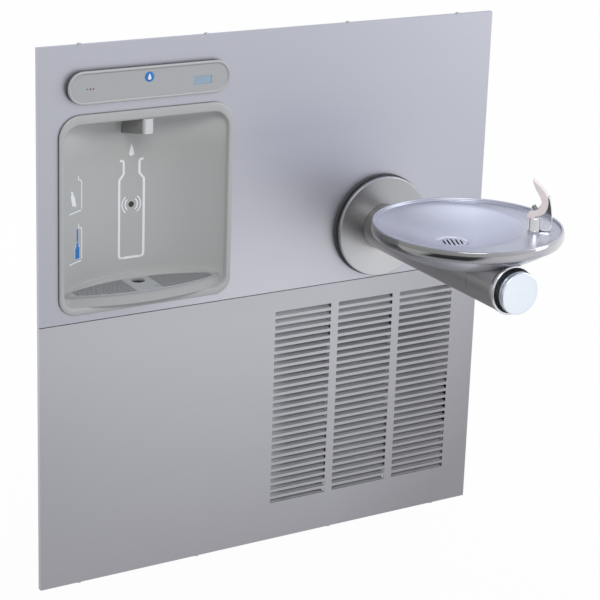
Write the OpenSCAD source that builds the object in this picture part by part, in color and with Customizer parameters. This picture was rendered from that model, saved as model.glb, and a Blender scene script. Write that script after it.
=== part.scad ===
// In-wall drinking station: two steel panels over a frame set into the wall, a bottle alcove with a
// spout, drip tray and display, and a round fountain basin on an arm with a push button at its end.
// Lengths are millimetres. The finished wall surface is y = 0, the viewer stands on the -Y side,
// +Z is up, and x = 0, z = 0 is the middle of the panels.

/* [Model] */
// Sub-part to draw, or all of them
// Segments in a full circle
facets = 72; // [48:4:120]

/* [Panels] */
// Width of both panels
panel_w = 960; // [940:1:1000]
// Height of both panels together
panel_h = 1032; // [1020:1:1080]
// Front face to wall surface
panel_depth = 10; // [9:0.5:14]
// Panel sheet thickness
sheet_t = 1.5; // [1:0.1:2]
// Height of the seam between the panels
split_z = 4; // [0:0.5:8]
// Gap at the seam
split_gap = 1.5; // [1:0.1:3]
// Panel screw shank radius
screw_r = 2; // [1.5:0.1:2.2]
// Panel screw head height
screw_head_h = 2.5; // [2:0.1:4]
// Panel screw length under the head
screw_l = 12; // [10:0.5:16]
// Distances of the panel screws from mid width
screw_x = [150, 400]; // [100:5:430]

/* [Louvres] */
// Columns of slots
louvre_cols = 3; // [2:1:3]
// Slots in a column
louvre_rows = 28; // [20:1:28]
// Slot width
louvre_w = 125.3; // [110:0.1:130]
// Slot height
louvre_h = 8.3; // [6:0.1:9]
// Step from column to column
louvre_step_x = 142.8; // [136:0.1:148]
// Step from slot to slot
louvre_step_z = 14.535; // [13:0.005:14.9]
// Left edge of the first column
louvre_left = 9.5; // [0:0.5:20]
// Top edge of the top slot
louvre_top = -37.5; // [-45:0.5:-30]
// Blade reach behind the sheet
blade_depth = 12; // [8:0.5:13]
// Blade rise from front to back
blade_rise = 3; // [1:0.25:5]
// Blade thickness
blade_t = 1.2; // [1:0.1:1.6]

/* [Display] */
// Display's middle, right of the alcove's middle and up from the origin
bezel_off = [0.7, 440.2]; // [-5:0.1:450]
// Display housing width
bezel_w = 321.5; // [300:0.5:330]
// Display housing height
bezel_h = 60.5; // [54:0.5:64]
// Display housing depth in front of the panel
bezel_proud = 13; // [11:0.5:15]
// Width of the raised rim
bezel_rim = 5.5; // [4:0.1:7]
// Face below the rim
face_drop = 2; // [1:0.1:3]
// Face plate thickness
face_t = 2.5; // [2:0.1:3]
// Ledge that carries the face plate
face_ledge = 4; // [3:0.5:5]
// Middle of the counter window from the housing middle
lcd_off = [103.6, -3.8]; // [-5:0.1:110]
// Counter window width and height
lcd_size = [37, 14.6]; // [12:0.1:40]
// First lamp from the housing middle
led_off = [-124.2, -1.9]; // [-130:0.1:5]
// Lamps in the row
led_n = 3; // [2:1:3]
// Step from lamp to lamp
led_step = 5.9; // [5:0.1:8]
// Lamp radius
led_r = 1.8; // [1.2:0.1:2.2]
// Circuit board thickness
board_t = 1.6; // [1.2:0.1:2]
// Circuit board behind the face plate
board_gap = 3.5; // [3:0.1:4]

/* [Alcove] */
// Alcove's middle, in from the panels' left edge
alcove_in = 212; // [205:0.5:218]
// Alcove frame width
frame_w = 348; // [340:0.5:352]
// Bottom edge of the alcove frame
frame_z0 = 19.4; // [18:0.1:22]
// Top edge of the alcove frame
frame_z1 = 391; // [386:0.5:395]
// Frame depth in front of the panel
frame_proud = 5; // [3:0.5:7]
// Frame corner radius at the top
frame_r1 = 42; // [36:0.5:48]
// Frame corner radius at the bottom
frame_r0 = 32; // [26:0.5:36]
// Side rim width
rim_side = 10; // [9:0.5:12]
// Top rim width
rim_top = 18.5; // [15:0.5:20]
// Bottom rim width
rim_bottom = 12.6; // [12:0.1:14]
// Radius of the curved back wall
wall_r = 257; // [250:1:265]
// Deepest point of the back wall
wall_y = 55; // [50:0.5:60]
// Rounding between back wall and ceiling
ceiling_r = 30; // [20:1:34]
// Liner thickness
liner_t = 3; // [2:0.1:3.5]
// Studs behind the alcove rim, shares of the rim's half width
stud_shares = [0.26, 0.75]; // [0.15:0.01:0.8]
// Stud radius
stud_r = 2; // [1.5:0.1:2.2]
// Nut radius
nut_r = 4; // [3.4:0.1:4.2]

/* [Tray] */
// Top of the grille
grille_z = 56; // [52:0.5:60]
// Grille thickness
grille_t = 4; // [3:0.1:5]
// Foremost point of the tray
tray_y0 = -31; // [-36:0.5:-28]
// Radius of the bowed front
tray_r = 455; // [430:5:480]
// Hindmost point of the grille
grille_y1 = 41; // [38:0.5:44]
// Radius of the grille's back edge
grille_r = 340; // [330:5:360]
// Front wall behind the grille lip
lip_over = 2; // [1:0.1:3]
// Tray wall thickness
tray_t = 3; // [2:0.1:3.5]
// Upstand along the back wall, thickness
cove_t = 4; // [3:0.5:5]
// Upstand height above the grille
cove_h = 7; // [5:0.5:9]
// Radius of the round hole in the grille
well_r = 13; // [10:0.5:14]
// Round hole, y
well_y = 23; // [20:0.5:25]
// Small hole radius in the grille
perf_r = 1.5; // [1:0.1:1.8]
// Step from hole to hole
perf_step = 9; // [8:0.5:11]
// Holes in a row of one field
perf_nx = 11; // [8:1:11]
// Rows of holes
perf_ny = 4; // [3:1:4]
// Fields of holes start this far from the alcove middle
perf_x0 = 38; // [34:1:40]
// First row of holes, y
perf_y0 = -14; // [-16:0.5:-12]
// Finger slot length
slot_l = 46; // [40:1:50]
// Finger slot width
slot_w = 3; // [2:0.1:4]
// Middle of the finger slot from the alcove middle, x and y
slot_at = [35.4, -17.5]; // [-20:0.1:38]
// Drain hole radius in the tray
tray_drain_r = 7; // [6:0.1:8]
// Tray lift-out drain, y
tray_drain_y = 13.5; // [13.2:0.1:16]

/* [Spout] */
// Nose radius
nose_r = 11; // [10:0.1:12]
// Nose middle, y
nose_y = -8; // [-10:0.5:-6]
// Lowest point at the nose
nose_z = 345.5; // [343:0.5:348]
// Underside slope down toward the wall, degrees
under_slope = 9.85; // [8:0.05:11]
// Half width at the wall
cowl_half = 22; // [18:0.5:24]
// Filler tube outer radius
filler_r = 5; // [4.5:0.1:5.5]
// Filler tube height
filler_z = 350.5; // [350:0.1:351]
// Tube wall
tube_t = 1.2; // [0.8:0.1:1.5]
// Nozzle insert radius
insert_r = 7; // [6.6:0.1:8]
// Nozzle insert above the underside
insert_up = 1; // [0.5:0.1:1.5]

/* [Sensor] */
// Sensor height
sensor_z = 194.6; // [190:0.1:200]
// Sensor lens radius
lens_r = 5.4; // [4:0.1:6]
// Sensor housing width, depth and height
sensor_box = [30, 18, 34]; // [16:1:40]

/* [Escutcheon] */
// Arm axis, x and z
arm_at = [235, 112]; // [108:0.5:240]
// Escutcheon radius
esc_r = 100; // [96:0.5:104]
// Escutcheon front above the panel
esc_proud = 21; // [19:0.5:23]
// Backing ring radius
esc_ring_r = 102; // [99:0.5:106]
// Backing ring thickness
esc_ring_t = 8; // [6:0.5:10]
// Backing ring width
esc_ring_w = 9; // [8:0.5:14]
// Dish of the front face
esc_dish = 1.8; // [1:0.1:2.5]
// Edge rounding
esc_edge = 3; // [2:0.5:4]

/* [Arm] */
// Arm tube outer radius
arm_r = 44.5; // [44:0.1:45]
// Arm tube wall
arm_t = 2; // [1.5:0.1:2.5]
// Seam between tube and front sleeve, y
seam_y = -374; // [-376:0.5:-370]
// Seam gap
seam_gap = 0.6; // [0.4:0.1:1]
// Back end of the collar ring, y
collar_y1 = -448; // [-450:0.5:-446]
// Front of the collar ring, y
collar_y0 = -458; // [-460:0.5:-456]
// Collar ring outer radius
collar_r = 45.8; // [45.3:0.1:46.5]
// Collar ring inner radius
collar_in = 41; // [40.6:0.1:41.6]
// Joint ring inside the seam, half length
spigot_l = 12; // [8:0.5:14]
// Joint ring thickness
spigot_t = 2.4; // [2:0.1:3]
// Arm flange radius
flange_r = 85; // [80:1:90]
// Arm flange thickness
flange_t = 6; // [5:0.5:6]
// Front of the arm flange, y
flange_y = 2; // [1.5:0.1:3]
// Bolts from the arm axis, x and z
bolt_off = 52; // [50:1:55]
// Bolt radius
bolt_r = 4; // [3:0.1:5]
// Bolt head and nut radius
bolt_head_r = 7.5; // [7:0.1:9]
// Bolt head and nut height
bolt_head_h = 5; // [4:0.1:5.5]

/* [Button] */
// Button radius
button_r = 39; // [38:0.1:39.8]
// Button front, y
button_y = -480; // [-482:0.5:-478]
// Button face thickness
button_t = 4; // [3:0.1:5]
// Button skirt thickness
skirt_t = 3; // [2:0.1:4]
// Button edge rounding
button_edge = 2; // [1:0.1:2.5]
// Back end of the skirt, y
skirt_y = -452; // [-453:0.5:-450]
// Boss radius behind the face
boss_r = 8; // [7:0.1:9]
// Boss length
boss_l = 14; // [12:0.5:16]
// Stem radius
stem_r = 4; // [3:0.1:5]
// Stem length
stem_l = 57; // [54:0.5:59]
// Running clearance round the stem
run_fit = 0.05; // [0.02:0.01:0.1]
// Carrier web in the sleeve, front y
web_y = -436; // [-437:0.5:-435]
// Carrier web thickness
web_t = 4; // [3:0.5:5]
// Valve neck radius
neck_r = 10; // [9:0.1:11]
// Valve body radius
valve_r = 14; // [12:0.5:16]
// Valve neck length in front of the web
neck_l = 4; // [3:0.5:5]
// Valve body back end, y
valve_y1 = -384; // [-386:0.5:-382]
// Stem bore end, y
stem_bore_y = -398; // [-399:0.5:-397]
// Valve outlet, y
outlet_y = -405; // [-408:0.5:-402]
// Water fitting radius
port_r = 6; // [5.4:0.1:7]
// Spring mean radius
spring_r = 14; // [13:0.1:15]
// Spring wire radius
wire_r = 0.9; // [0.6:0.1:1.2]
// Spring turns
spring_turns = 7; // [5:1:8]

/* [Basin] */
// Basin middle, x and y
basin_at = [235, -308]; // [-312:0.5:238]
// Rim crest height
crest_z = 195; // [193:0.5:197]
// Rim radius
rim_r = 176; // [172:0.5:180]
// Bulge of the polished rim band
rim_bulge = 1.5; // [1:0.1:2.5]
// Height of the rim band
rim_h = 19; // [17:0.5:20]
// Lower lip turn-in
lip_in = 5; // [4:0.5:6]
// Crest rounding
crest_r = 2.5; // [2:0.1:3]
// Basin sheet thickness
bowl_t = 1.5; // [1.2:0.1:2]
// Deck below the crest
deck_drop = 6; // [5:0.5:7]
// Dish middle from the basin middle, x and y
dish_off = [-12, 26]; // [-14:0.5:28]
// Dish depth below the deck
dish_depth = 36; // [34:0.5:37]
// Dish sphere radius
dish_r = 286; // [280:1:292]
// Underside sphere radius
shroud_r = 286; // [280:1:292]
// Underside sheet thickness
shroud_t = 1.5; // [1.2:0.1:2]
// Gap between neighbouring curved faces
fit = 0.3; // [0.2:0.05:0.4]
// Drain collar radius
drain_r = 28; // [26:0.5:29]
// Drain cup radius
cup_r = 24; // [20:0.5:24.5]
// Drain cup wall
cup_t = 2; // [1.5:0.1:2.5]
// Bottom of the drain cup
cup_z = 99; // [98.5:0.5:102]
// Strainer thickness
strainer_t = 1.5; // [1:0.1:2]
// Strainer slot step
strainer_step = 8.1; // [7.5:0.1:8.5]
// Strainer slot width
strainer_w = 3.4; // [2.5:0.1:4]
// Longest strainer slot
strainer_l = 40; // [36:0.5:42]
// Turn of the strainer slots, degrees
strainer_turn = -22; // [-40:1:0]
// Waste tube radius
waste_r = 13; // [12:0.5:13]
// Waste tube height in the arm
waste_z = 85.6; // [85:0.1:85.8]

/* [Bubbler] */
// Bubbler middle, x and y
bubbler_at = [333, -380]; // [-384:0.5:336]
// Turn toward the drain, degrees
bubbler_turn = 139.5; // [130:0.5:150]
// Pad radius
pad_r = 26.5; // [24:0.5:28]
// Pad height
pad_h = 3.5; // [2.5:0.1:4]
// Height of the guard tip above the deck
bubbler_h = 97; // [92:0.5:100]
// Base radius
base_r = 11; // [10:0.1:12]
// Tower half width
tower_half = 10; // [9:0.1:11]
// Guard half width
guard_half = 8.5; // [7.5:0.1:9]
// Shank radius
shank_r = 6; // [5:0.1:7]
// Shank length below the deck
shank_l = 18; // [16:0.5:20]
// Shank bore
shank_bore = 3; // [2:0.1:3.5]
// Shank nut radius
shank_nut_r = 12; // [11:0.5:14]
// Shank nut height
shank_nut_h = 7; // [6:0.5:9]
// Nozzle radius
jet_r = 4.5; // [4:0.1:5]
// Nozzle length
jet_l = 14; // [12:0.5:15]
// Nozzle foot behind the base axis, share of the height
jet_back_share = 0.035; // [0.02:0.005:0.05]
// Nozzle foot above the deck, share of the height
jet_up_share = 0.37; // [0.36:0.005:0.4]
// Nozzle lean, degrees
jet_lean = 36; // [30:1:42]
// Supply tube radius
line_r = 4; // [3:0.1:4.2]

/* [Wall frame] */
// Frame flange clearance inside the panel edge
flange_fit = 2.5; // [1.5:0.1:4]
// Frame sheet thickness
frame_t = 2; // [1.5:0.1:3]
// Recess box width
box_w = 880; // [870:1:884]
// Recess box height
box_h = 968; // [950:1:972]
// Frame depth behind the wall surface
box_y = 58; // [54:1:60]
// Back ends of the inlet and waste pipes, y
out_y = 190; // [180:1:200]
// Width of the rear edge turned inward
rear_w = 20; // [12:1:26]
// Wall fixing holes, x and z spacing
fix_step = [931, 880]; // [860:1:934]
// Wall fixing hole radius
fix_r = 3.5; // [2.5:0.1:4]
// Middle rail height range from the seam
rail_half = 14; // [10:0.5:14]
// Middle rail depth
rail_y = 30; // [20:1:34]
// Carrier plate half width
carrier_half = 130; // [120:1:135]
// Carrier plate top above the arm axis
carrier_up = 262; // [258:1:270]
// Carrier plate thickness
carrier_t = 4; // [3:0.5:5]
// Carrier plate side flange depth
carrier_y = 32; // [24:1:40]

/* [Water] */
// Filter axis, x and y
filter_at = [0, 100]; // [-5:1:110]
// Filter cartridge radius
filter_r = 40; // [34:1:42]
// Filter cartridge bottom
filter_z0 = 90; // [80:5:120]
// Filter head bottom
filter_z1 = 340; // [330:5:350]
// Filter head height
head_h = 32; // [28:1:36]
// Filter neck radius
filter_neck_r = 20; // [16:1:22]
// Filter neck height
filter_neck_h = 16; // [12:1:18]
// Filter lug reach
lug_l = 4; // [3:0.5:5]
// Stop valve axis, x and z
stop_at = [62, 60]; // [56:1:66]
// Stop valve body radius
stop_r = 11; // [10:0.5:13]
// Stop valve front, y
stop_y = 132; // [128:1:136]
// Inlet pipe radius
inlet_r = 8; // [7:0.1:9]
// Stop valve handle length and width
handle_size = [34, 16]; // [12:1:40]
// Handle thickness
handle_t = 8; // [6:0.5:10]
// Height of the water lines across the box
cross_z = -30; // [-34:1:-28]
// Solenoid valve body width, depth and height
valve_box = [30, 40, 30]; // [24:1:44]
// Solenoid coil radius
coil_r = 15; // [13:0.5:16]
// Solenoid coil height
coil_h = 34; // [28:1:40]
// Trap tube radius
trap_r = 17; // [16:0.5:18]
// Trap, y
trap_y = 110; // [104:1:116]
// Trap bottom
trap_z0 = -66; // [-68:1:-62]
// Trap width
trap_w = 58; // [52:1:64]
// Height of the waste outlet
outlet_z = -20; // [-22:1:-16]
// Outlet socket length
outlet_l = 40; // [30:1:44]

/* [Chiller] */
// Base plate left and right ends
base_x = [-368, 414]; // [-370:1:416]
// Base plate front and back, y
base_y = [2, 186]; // [2:1:190]
// Base plate gusset height
gusset_h = 60; // [40:1:80]
// Compressor middle, x and y
comp_at = [-105, 104]; // [-110:1:108]
// Compressor radius
comp_r = 68; // [60:1:72]
// Compressor height
comp_h = 150; // [130:5:170]
// Compressor edge rounding
comp_edge = 28; // [20:1:32]
// Compressor foot half span, x and y
foot_half = [78, 46]; // [40:1:80]
// Rubber foot radius
foot_r = 9; // [8:0.5:10]
// Rubber foot height
foot_h = 12; // [10:0.5:16]
// Foot plate thickness
foot_t = 3; // [2:0.1:4]
// Condenser left and right ends
cond_x = [30, 400]; // [24:1:406]
// Condenser's foot above the base pan
cond_lift = 42; // [30:1:60]
// Top of the condenser, z
cond_top = -36; // [-60:1:-34]
// Condenser front and back, y
cond_y = [14, 50]; // [10:1:54]
// Condenser fins
fin_n = 22; // [12:1:28]
// Fin thickness
fin_t = 1.4; // [1:0.1:2]
// Condenser flat tubes
flat_n = 8; // [5:1:10]
// Flat tube height
flat_h = 3; // [2:0.1:4]
// Shroud depth behind the condenser
shroud_y = 14; // [12:0.5:16]
// Fan radius
fan_r = 112; // [100:1:118]
// Fan hub radius
hub_r = 24; // [20:1:28]
// Fan hub length
hub_l = 20; // [16:1:24]
// Fan blades
blade_n = 5; // [3:1:7]
// Fan blade width
vane_w = 52; // [40:1:58]
// Fan blade thickness
vane_t = 1.6; // [1.2:0.1:2]
// Fan blade pitch, degrees
vane_pitch = 24; // [18:1:30]
// Fan hub front behind the shroud, y
hub_gap = 4; // [3:0.5:8]
// Motor radius
motor_r = 36; // [32:1:40]
// Motor length
motor_l = 50; // [40:1:60]
// Motor shaft radius
shaft_r = 4; // [3:0.5:5]
// Motor bracket bar width
bar_w = 22; // [16:1:28]
// Cooling tank middle, x and y
tank_at = [-285, 104]; // [-290:1:108]
// Cooling tank radius
tank_r = 76; // [68:1:80]
// Cooling tank height
tank_h = 240; // [200:5:260]
// Cooling tank edge rounding
tank_edge = 12; // [8:1:20]
// Refrigerant tube radius
cool_r = 4; // [3:0.1:5]
// Power box middle height
power_z = -300; // [-330:5:-270]
// Power box width, depth and height
power_box_size = [34, 46, 90]; // [30:1:110]
// Cable gland radius
gland_r = 12; // [10:0.5:14]
// Cable gland bore
gland_bore = 5; // [4:0.1:6]
// Cable gland length
gland_l = 22; // [18:1:26]

/* [Hidden] */
$fn = facets;
fine = 4 * facets;
over = sheet_t;
half_w = panel_w / 2;
half_h = panel_h / 2;
face_y = -panel_depth;
sheet_y = face_y + sheet_t;
box_x = box_w / 2;
box_z = box_h / 2;
flange_x = half_w - sheet_t - flange_fit;
flange_z = half_h - sheet_t - flange_fit / 2;
pan_head_r = 2 * screw_r;
screw_y = face_y / 2 + sheet_t / 4;
frame_y = face_y - frame_proud;
alcove_x = alcove_in - half_w;
bezel_at = [alcove_x + bezel_off[0], bezel_off[1]];
frame_mid = frame_w / 2;
stud_x = [for (share = stud_shares) share * frame_mid];
win_half = frame_mid - rim_side;
win_z0 = frame_z0 + rim_bottom;
win_z1 = frame_z1 - rim_top;
wall_cy = wall_y - wall_r;
stud_z1 = frame_z1 - (rim_top - liner_t) / 2;
stud_z0 = frame_z0 + (rim_bottom - liner_t) / 2;
tray_top = grille_z - grille_t;
arm_x = arm_at[0];
arm_z = arm_at[1];
esc_y = face_y - esc_proud;
fl_y1 = flange_y + flange_t;
carrier_y1 = fl_y1 + carrier_t;
outlet_r = trap_r + cup_t;
rail_z1 = split_z + rail_half;
rail_z0 = split_z - rail_half;
arm_in = arm_r - arm_t;
deck_z = crest_z - deck_drop;
dish_x = basin_at[0] + dish_off[0];
dish_y = basin_at[1] + dish_off[1];
floor_z = deck_z - dish_depth;
lip_z = crest_z - rim_h - crest_r;
lip_r = rim_r - lip_in;
shroud_cz = lip_z + sqrt(shroud_r * shroud_r - lip_r * lip_r);
drain_top = floor_z + bowl_t / 2;
valve_z0 = filler_z - valve_box[2] / 2;
valve_y0 = wall_y + liner_t + 4 * over;
head_z1 = filter_z1 + head_h;
fx = filter_at[0];
fy = filter_at[1];
base_z = -box_z + frame_t;
cond_z = [base_z + cond_lift, cond_top];
comp_z0 = base_z + frame_t + foot_h;
tank_top = base_z + frame_t + tank_h;
fan_x = (cond_x[0] + cond_x[1]) / 2;
fan_z = (cond_z[0] + cond_z[1]) / 2;
shroud_back = cond_y[1] + shroud_y;
hub_y = shroud_back + hub_gap;
motor_y = hub_y + hub_l + hub_gap;

module slab(y0, y1) translate([0, y1, 0]) rotate([90, 0, 0]) linear_extrude(y1 - y0) children();
module block(x, y, z) translate([x[0], y[0], z[0]]) cube([x[1] - x[0], y[1] - y[0], z[1] - z[0]]);
module rod_x(x, y, z, r) translate([x[0], y, z]) rotate([0, 90, 0]) cylinder(r = r, h = x[1] - x[0]);
module rod_y(x, y, z, r) translate([x, y[0], z]) rotate([-90, 0, 0]) cylinder(r = r, h = y[1] - y[0]);
module rod_z(x, y, z, r) translate([x, y, z[0]]) cylinder(r = r, h = z[1] - z[0]);

module leg(a, b, r) {
    v = b - a;
    l = norm(v);
    translate(a) rotate([0, acos(v[2] / l), atan2(v[1], v[0])]) cylinder(r = r, h = l);
}

module route(p, r) {
    for (i = [0:len(p) - 2]) leg(p[i], p[i + 1], r);
    if (len(p) > 2) for (i = [1:len(p) - 2]) translate(p[i]) sphere(r = r);
}

function past(a, b, d) = b + (b - a) * d / norm(b - a);

module pipe(p, r, bore) {
    n = len(p) - 1;
    inner = [for (i = [0:n]) i == 0 ? past(p[1], p[0], over) : i == n ? past(p[n - 1], p[n], over) : p[i]];
    difference() {
        route(p, r);
        route(inner, bore);
    }
}

module stadium(w, h) {
    square([w - h, h], center = true);
    for (s = [-1, 1]) translate([s * (w - h) / 2, 0]) circle(r = h / 2);
}

module arch(half, z0, z1, r0, r1) {
    translate([-half, z0 + r0]) square([2 * half, z1 - z0 - r0 - r1]);
    translate([r0 - half, z0]) square([2 * (half - r0), r0]);
    translate([r1 - half, z1 - r1]) square([2 * (half - r1), r1]);
    for (s = [-1, 1]) translate([s * (half - r0), z0 + r0]) circle(r = r0);
    for (s = [-1, 1]) translate([s * (half - r1), z1 - r1]) circle(r = r1);
}

module pot(r, h, edge) {
    rotate_extrude() {
        square([r - edge, h]);
        translate([0, edge]) square([r, h - 2 * edge]);
        translate([r - edge, h - edge]) intersection() {
            circle(r = edge);
            square(edge);
        }
        translate([r - edge, edge]) intersection() {
            circle(r = edge);
            translate([0, -edge]) square(edge);
        }
    }
}

// Folded sheet between two heights, its fold at the seam short of the frame
module panel_shell(z0, z1) {
    side = half_w - sheet_t;
    difference() {
        block([-half_w, half_w], [face_y, 0], [z0, z1]);
        block([-side, side], [sheet_y, over], [z0 + sheet_t, z1 - sheet_t]);
        block([-side, side], [-frame_t - fit, over],
            [max(z0 - over, sheet_t - half_h), min(z1 + over, half_h - sheet_t)]);
    }
}

module panel_screw_places() {
    for (x = screw_x, s = [-1, 1]) translate([s * x, screw_y, 0]) children();
}

module alcove_space(grow) {
    top = win_z1 + grow;
    low = win_z0 - grow;
    r = wall_r + grow;
    intersection() {
        slab(frame_y - over, wall_y + grow + over) translate([alcove_x, 0])
            arch(win_half + grow, low, top, frame_r0 - rim_side + grow, frame_r1 - rim_side + grow);
        translate([alcove_x, wall_cy, low]) rotate_extrude($fn = fine) {
            square([r - ceiling_r, top - low]);
            square([r, top - low - ceiling_r]);
            translate([r - ceiling_r, top - low - ceiling_r]) circle(r = ceiling_r);
        }
    }
}

module upper_panel() color("#AAB0BC") {
    difference() {
        panel_shell(split_z + split_gap / 2, half_h);
        slab(face_y - over, over) {
            translate([alcove_x, 0]) arch(win_half + liner_t + fit, win_z0 - liner_t - fit,
                win_z1 + liner_t + fit, frame_r0 - rim_side, frame_r1 - rim_side);
            translate(bezel_at) stadium(bezel_w - 4 * bezel_rim, bezel_h - 4 * bezel_rim);
            translate(arm_at) circle(r = arm_r + over);
            translate([alcove_x, 0]) for (x = stud_x, s = [-1, 1], z = [stud_z0, stud_z1])
                translate([s * x, z]) circle(r = stud_r + fit);
        }
        panel_screw_places() rod_z(0, 0, [half_h - 2 * sheet_t, half_h + over], screw_r + fit);
    }
}

module lower_panel() color("#BEBEC6") {
    difference() {
        panel_shell(-half_h, split_z - split_gap / 2);
        slab(face_y - over, sheet_y + over) for (i = [0:louvre_cols - 1], j = [0:louvre_rows - 1])
            translate([louvre_left + i * louvre_step_x, louvre_top - j * louvre_step_z - louvre_h])
                square([louvre_w, louvre_h]);
        panel_screw_places() rod_z(0, 0, [-half_h - over, 2 * sheet_t - half_h], screw_r + fit);
    }
    for (i = [0:louvre_cols - 1], j = [0:louvre_rows - 1])
        translate([louvre_left + i * louvre_step_x + blade_t, 0,
            louvre_top - j * louvre_step_z - louvre_h])
            rotate([90, 0, 90]) linear_extrude(louvre_w - 2 * blade_t) polygon([
                [face_y, 0], [face_y, -blade_t], [sheet_y, -blade_t],
                [sheet_y + blade_depth, blade_rise - blade_t], [sheet_y + blade_depth, blade_rise]
            ]);
}

module panel_screws() color("#B9BCC2") {
    for (s = [-1, 1]) panel_screw_places() {
        a = s * half_h;
        rod_z(0, 0, [min(a, a - s * screw_l), max(a, a - s * screw_l)], screw_r);
        rod_z(0, 0, [min(a, a + s * screw_head_h), max(a, a + s * screw_head_h)], pan_head_r);
    }
}

module pair_x(x, y, z) for (s = [-1, 1]) block([min(s * x[0], s * x[1]), max(s * x[0], s * x[1])], y, z);

// Two uprights, each with a flange on the wall, a web into it and a turned rear edge
module wall_frame() color("#A9ADB2") {
    difference() {
        union() {
            pair_x([box_x - frame_t, flange_x], [-frame_t, 0], [-flange_z, flange_z]);
            pair_x([box_x - frame_t, box_x], [-frame_t, box_y], [-box_z, box_z]);
            pair_x([box_x - rear_w, box_x], [box_y - frame_t, box_y], [-box_z, box_z]);
        }
        for (x = [-1, 1], z = [-1, 1])
            rod_y(x * fix_step[0] / 2, [-frame_t - over, over], z * fix_step[1] / 2, fix_r);
        rod_x([box_x - 2 * frame_t, box_x + over], box_y / 2, power_z, gland_r - 2 * over + run_fit);
    }
}

// Top, middle and bottom rails between the uprights
module cross_rails() color("#A9ADB2") {
    x = [frame_t - box_x, box_x - frame_t];
    y0 = sheet_y + fit;
    difference() {
        union() {
            for (s = [-1, 1]) {
                web = s * (box_z - frame_t / 2) - frame_t / 2;
                tab = s * (flange_z - frame_t / 2) - frame_t / 2;
                block(x, [-frame_t, box_y - frame_t], [web, web + frame_t]);
                block(x, [-frame_t, 0], [min(web, tab), max(web, tab) + frame_t]);
                block(x, [y0, 0], [tab, tab + frame_t]);
            }
            block([rear_w - box_x, box_x - rear_w], [box_y - frame_t, box_y], [box_z - rear_w, box_z]);
        }
        for (s = [-1, 1]) panel_screw_places()
            translate([0, 0, s * flange_z]) rod_z(0, 0, [-2 * frame_t, 2 * frame_t], screw_r + run_fit);
    }
    difference() {
        block(x, [0, rail_y], [rail_z0, rail_z1]);
        block([-box_x, box_x], [frame_t, rail_y + over], [rail_z0 + frame_t, rail_z1 - frame_t]);
        rod_z(alcove_x, tray_drain_y, [rail_z0 - over, rail_z1 + over], tray_drain_r + tray_t + fit);
    }
}

module bolt_places() {
    for (x = [-1, 1], z = [-1, 1]) translate([arm_x + x * bolt_off, 0, arm_z + z * bolt_off]) children();
}

module arm_carrier() color("#A9ADB2") {
    lo = arm_x - carrier_half;
    hi = arm_x + carrier_half;
    top = arm_z + carrier_up;
    difference() {
        union() {
            block([lo, hi], [fl_y1, carrier_y1], [rail_z1, top]);
            for (x = [lo, hi - frame_t]) block([x, x + frame_t], [fl_y1, carrier_y], [rail_z1, top]);
        }
        rod_y(arm_x, [fl_y1 - over, carrier_y1 + over], arm_z, arm_in);
        bolt_places() rod_y(0, [fl_y1 - over, carrier_y1 + over], 0, bolt_r + run_fit);
    }
}

module alcove_liner() color("#A8A9A4") {
    difference() {
        union() {
            slab(frame_y, face_y) translate([alcove_x, 0])
                arch(frame_mid, frame_z0, frame_z1, frame_r0, frame_r1);
            intersection() {
                alcove_space(liner_t);
                slab(frame_y, wall_y + 2 * liner_t) translate([alcove_x, 0])
                    arch(frame_mid, frame_z0, frame_z1, frame_r0, frame_r1);
            }
            for (x = stud_x, s = [-1, 1], z = [stud_z0, stud_z1])
                rod_y(alcove_x + s * x, [face_y, 0], z, stud_r);
        }
        alcove_space(0);
        rod_y(alcove_x, [0, wall_y + 2 * liner_t], filler_z, filler_r + fit);
        rod_y(alcove_x, [0, wall_y + 2 * liner_t], sensor_z, lens_r + run_fit);
        rod_z(alcove_x, tray_drain_y, [win_z0 - 2 * liner_t, win_z0 + over], tray_drain_r + tray_t);
    }
}

module liner_nuts() color("#C2C4C8") {
    for (x = stud_x, s = [-1, 1], z = [stud_z0, stud_z1]) difference() {
        rod_y(alcove_x + s * x, [sheet_y, sheet_y + stud_r * 2], z, nut_r, $fn = 6);
        rod_y(alcove_x + s * x, [sheet_y - over, sheet_y + stud_r * 3], z, stud_r + run_fit);
    }
}

module spout_cowl() color("#8F908C") {
    difference() {
        intersection() {
            union() {
                rod_z(alcove_x, nose_y, [win_z0 + win_half, win_z1], nose_r);
                translate([alcove_x, 0, win_z0 + win_half]) linear_extrude(win_z1 - win_z0 - win_half)
                    polygon([[-nose_r, nose_y], [nose_r, nose_y], [cowl_half, wall_y + over],
                        [-cowl_half, wall_y + over]]);
            }
            alcove_space(-run_fit);
        }
        translate([alcove_x, nose_y - nose_r, nose_z]) rotate([-under_slope, 0, 0])
            translate([-frame_mid, -frame_mid, -frame_w]) cube([frame_w, frame_w, frame_w]);
        rod_z(alcove_x, nose_y, [win_z0, filler_z + insert_r], insert_r + run_fit);
        rod_y(alcove_x, [nose_y, wall_y + over], filler_z, filler_r + run_fit);
    }
}

module spout_nozzle() color("#C8CACD") {
    difference() {
        rod_z(alcove_x, nose_y, [nose_z - insert_up, filler_z + insert_r], insert_r);
        rod_z(alcove_x, nose_y, [nose_z - 2 * insert_up, filler_z], filler_r - tube_t);
        rod_y(alcove_x, [nose_y, nose_y + 2 * insert_r], filler_z, filler_r + run_fit);
    }
}

module filler_tube() color("#E4E6E8") {
    difference() {
        rod_y(alcove_x, [nose_y + tube_t, valve_y0], filler_z, filler_r);
        rod_y(alcove_x, [nose_y, valve_y0 + over], filler_z, filler_r - tube_t);
    }
}

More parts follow.
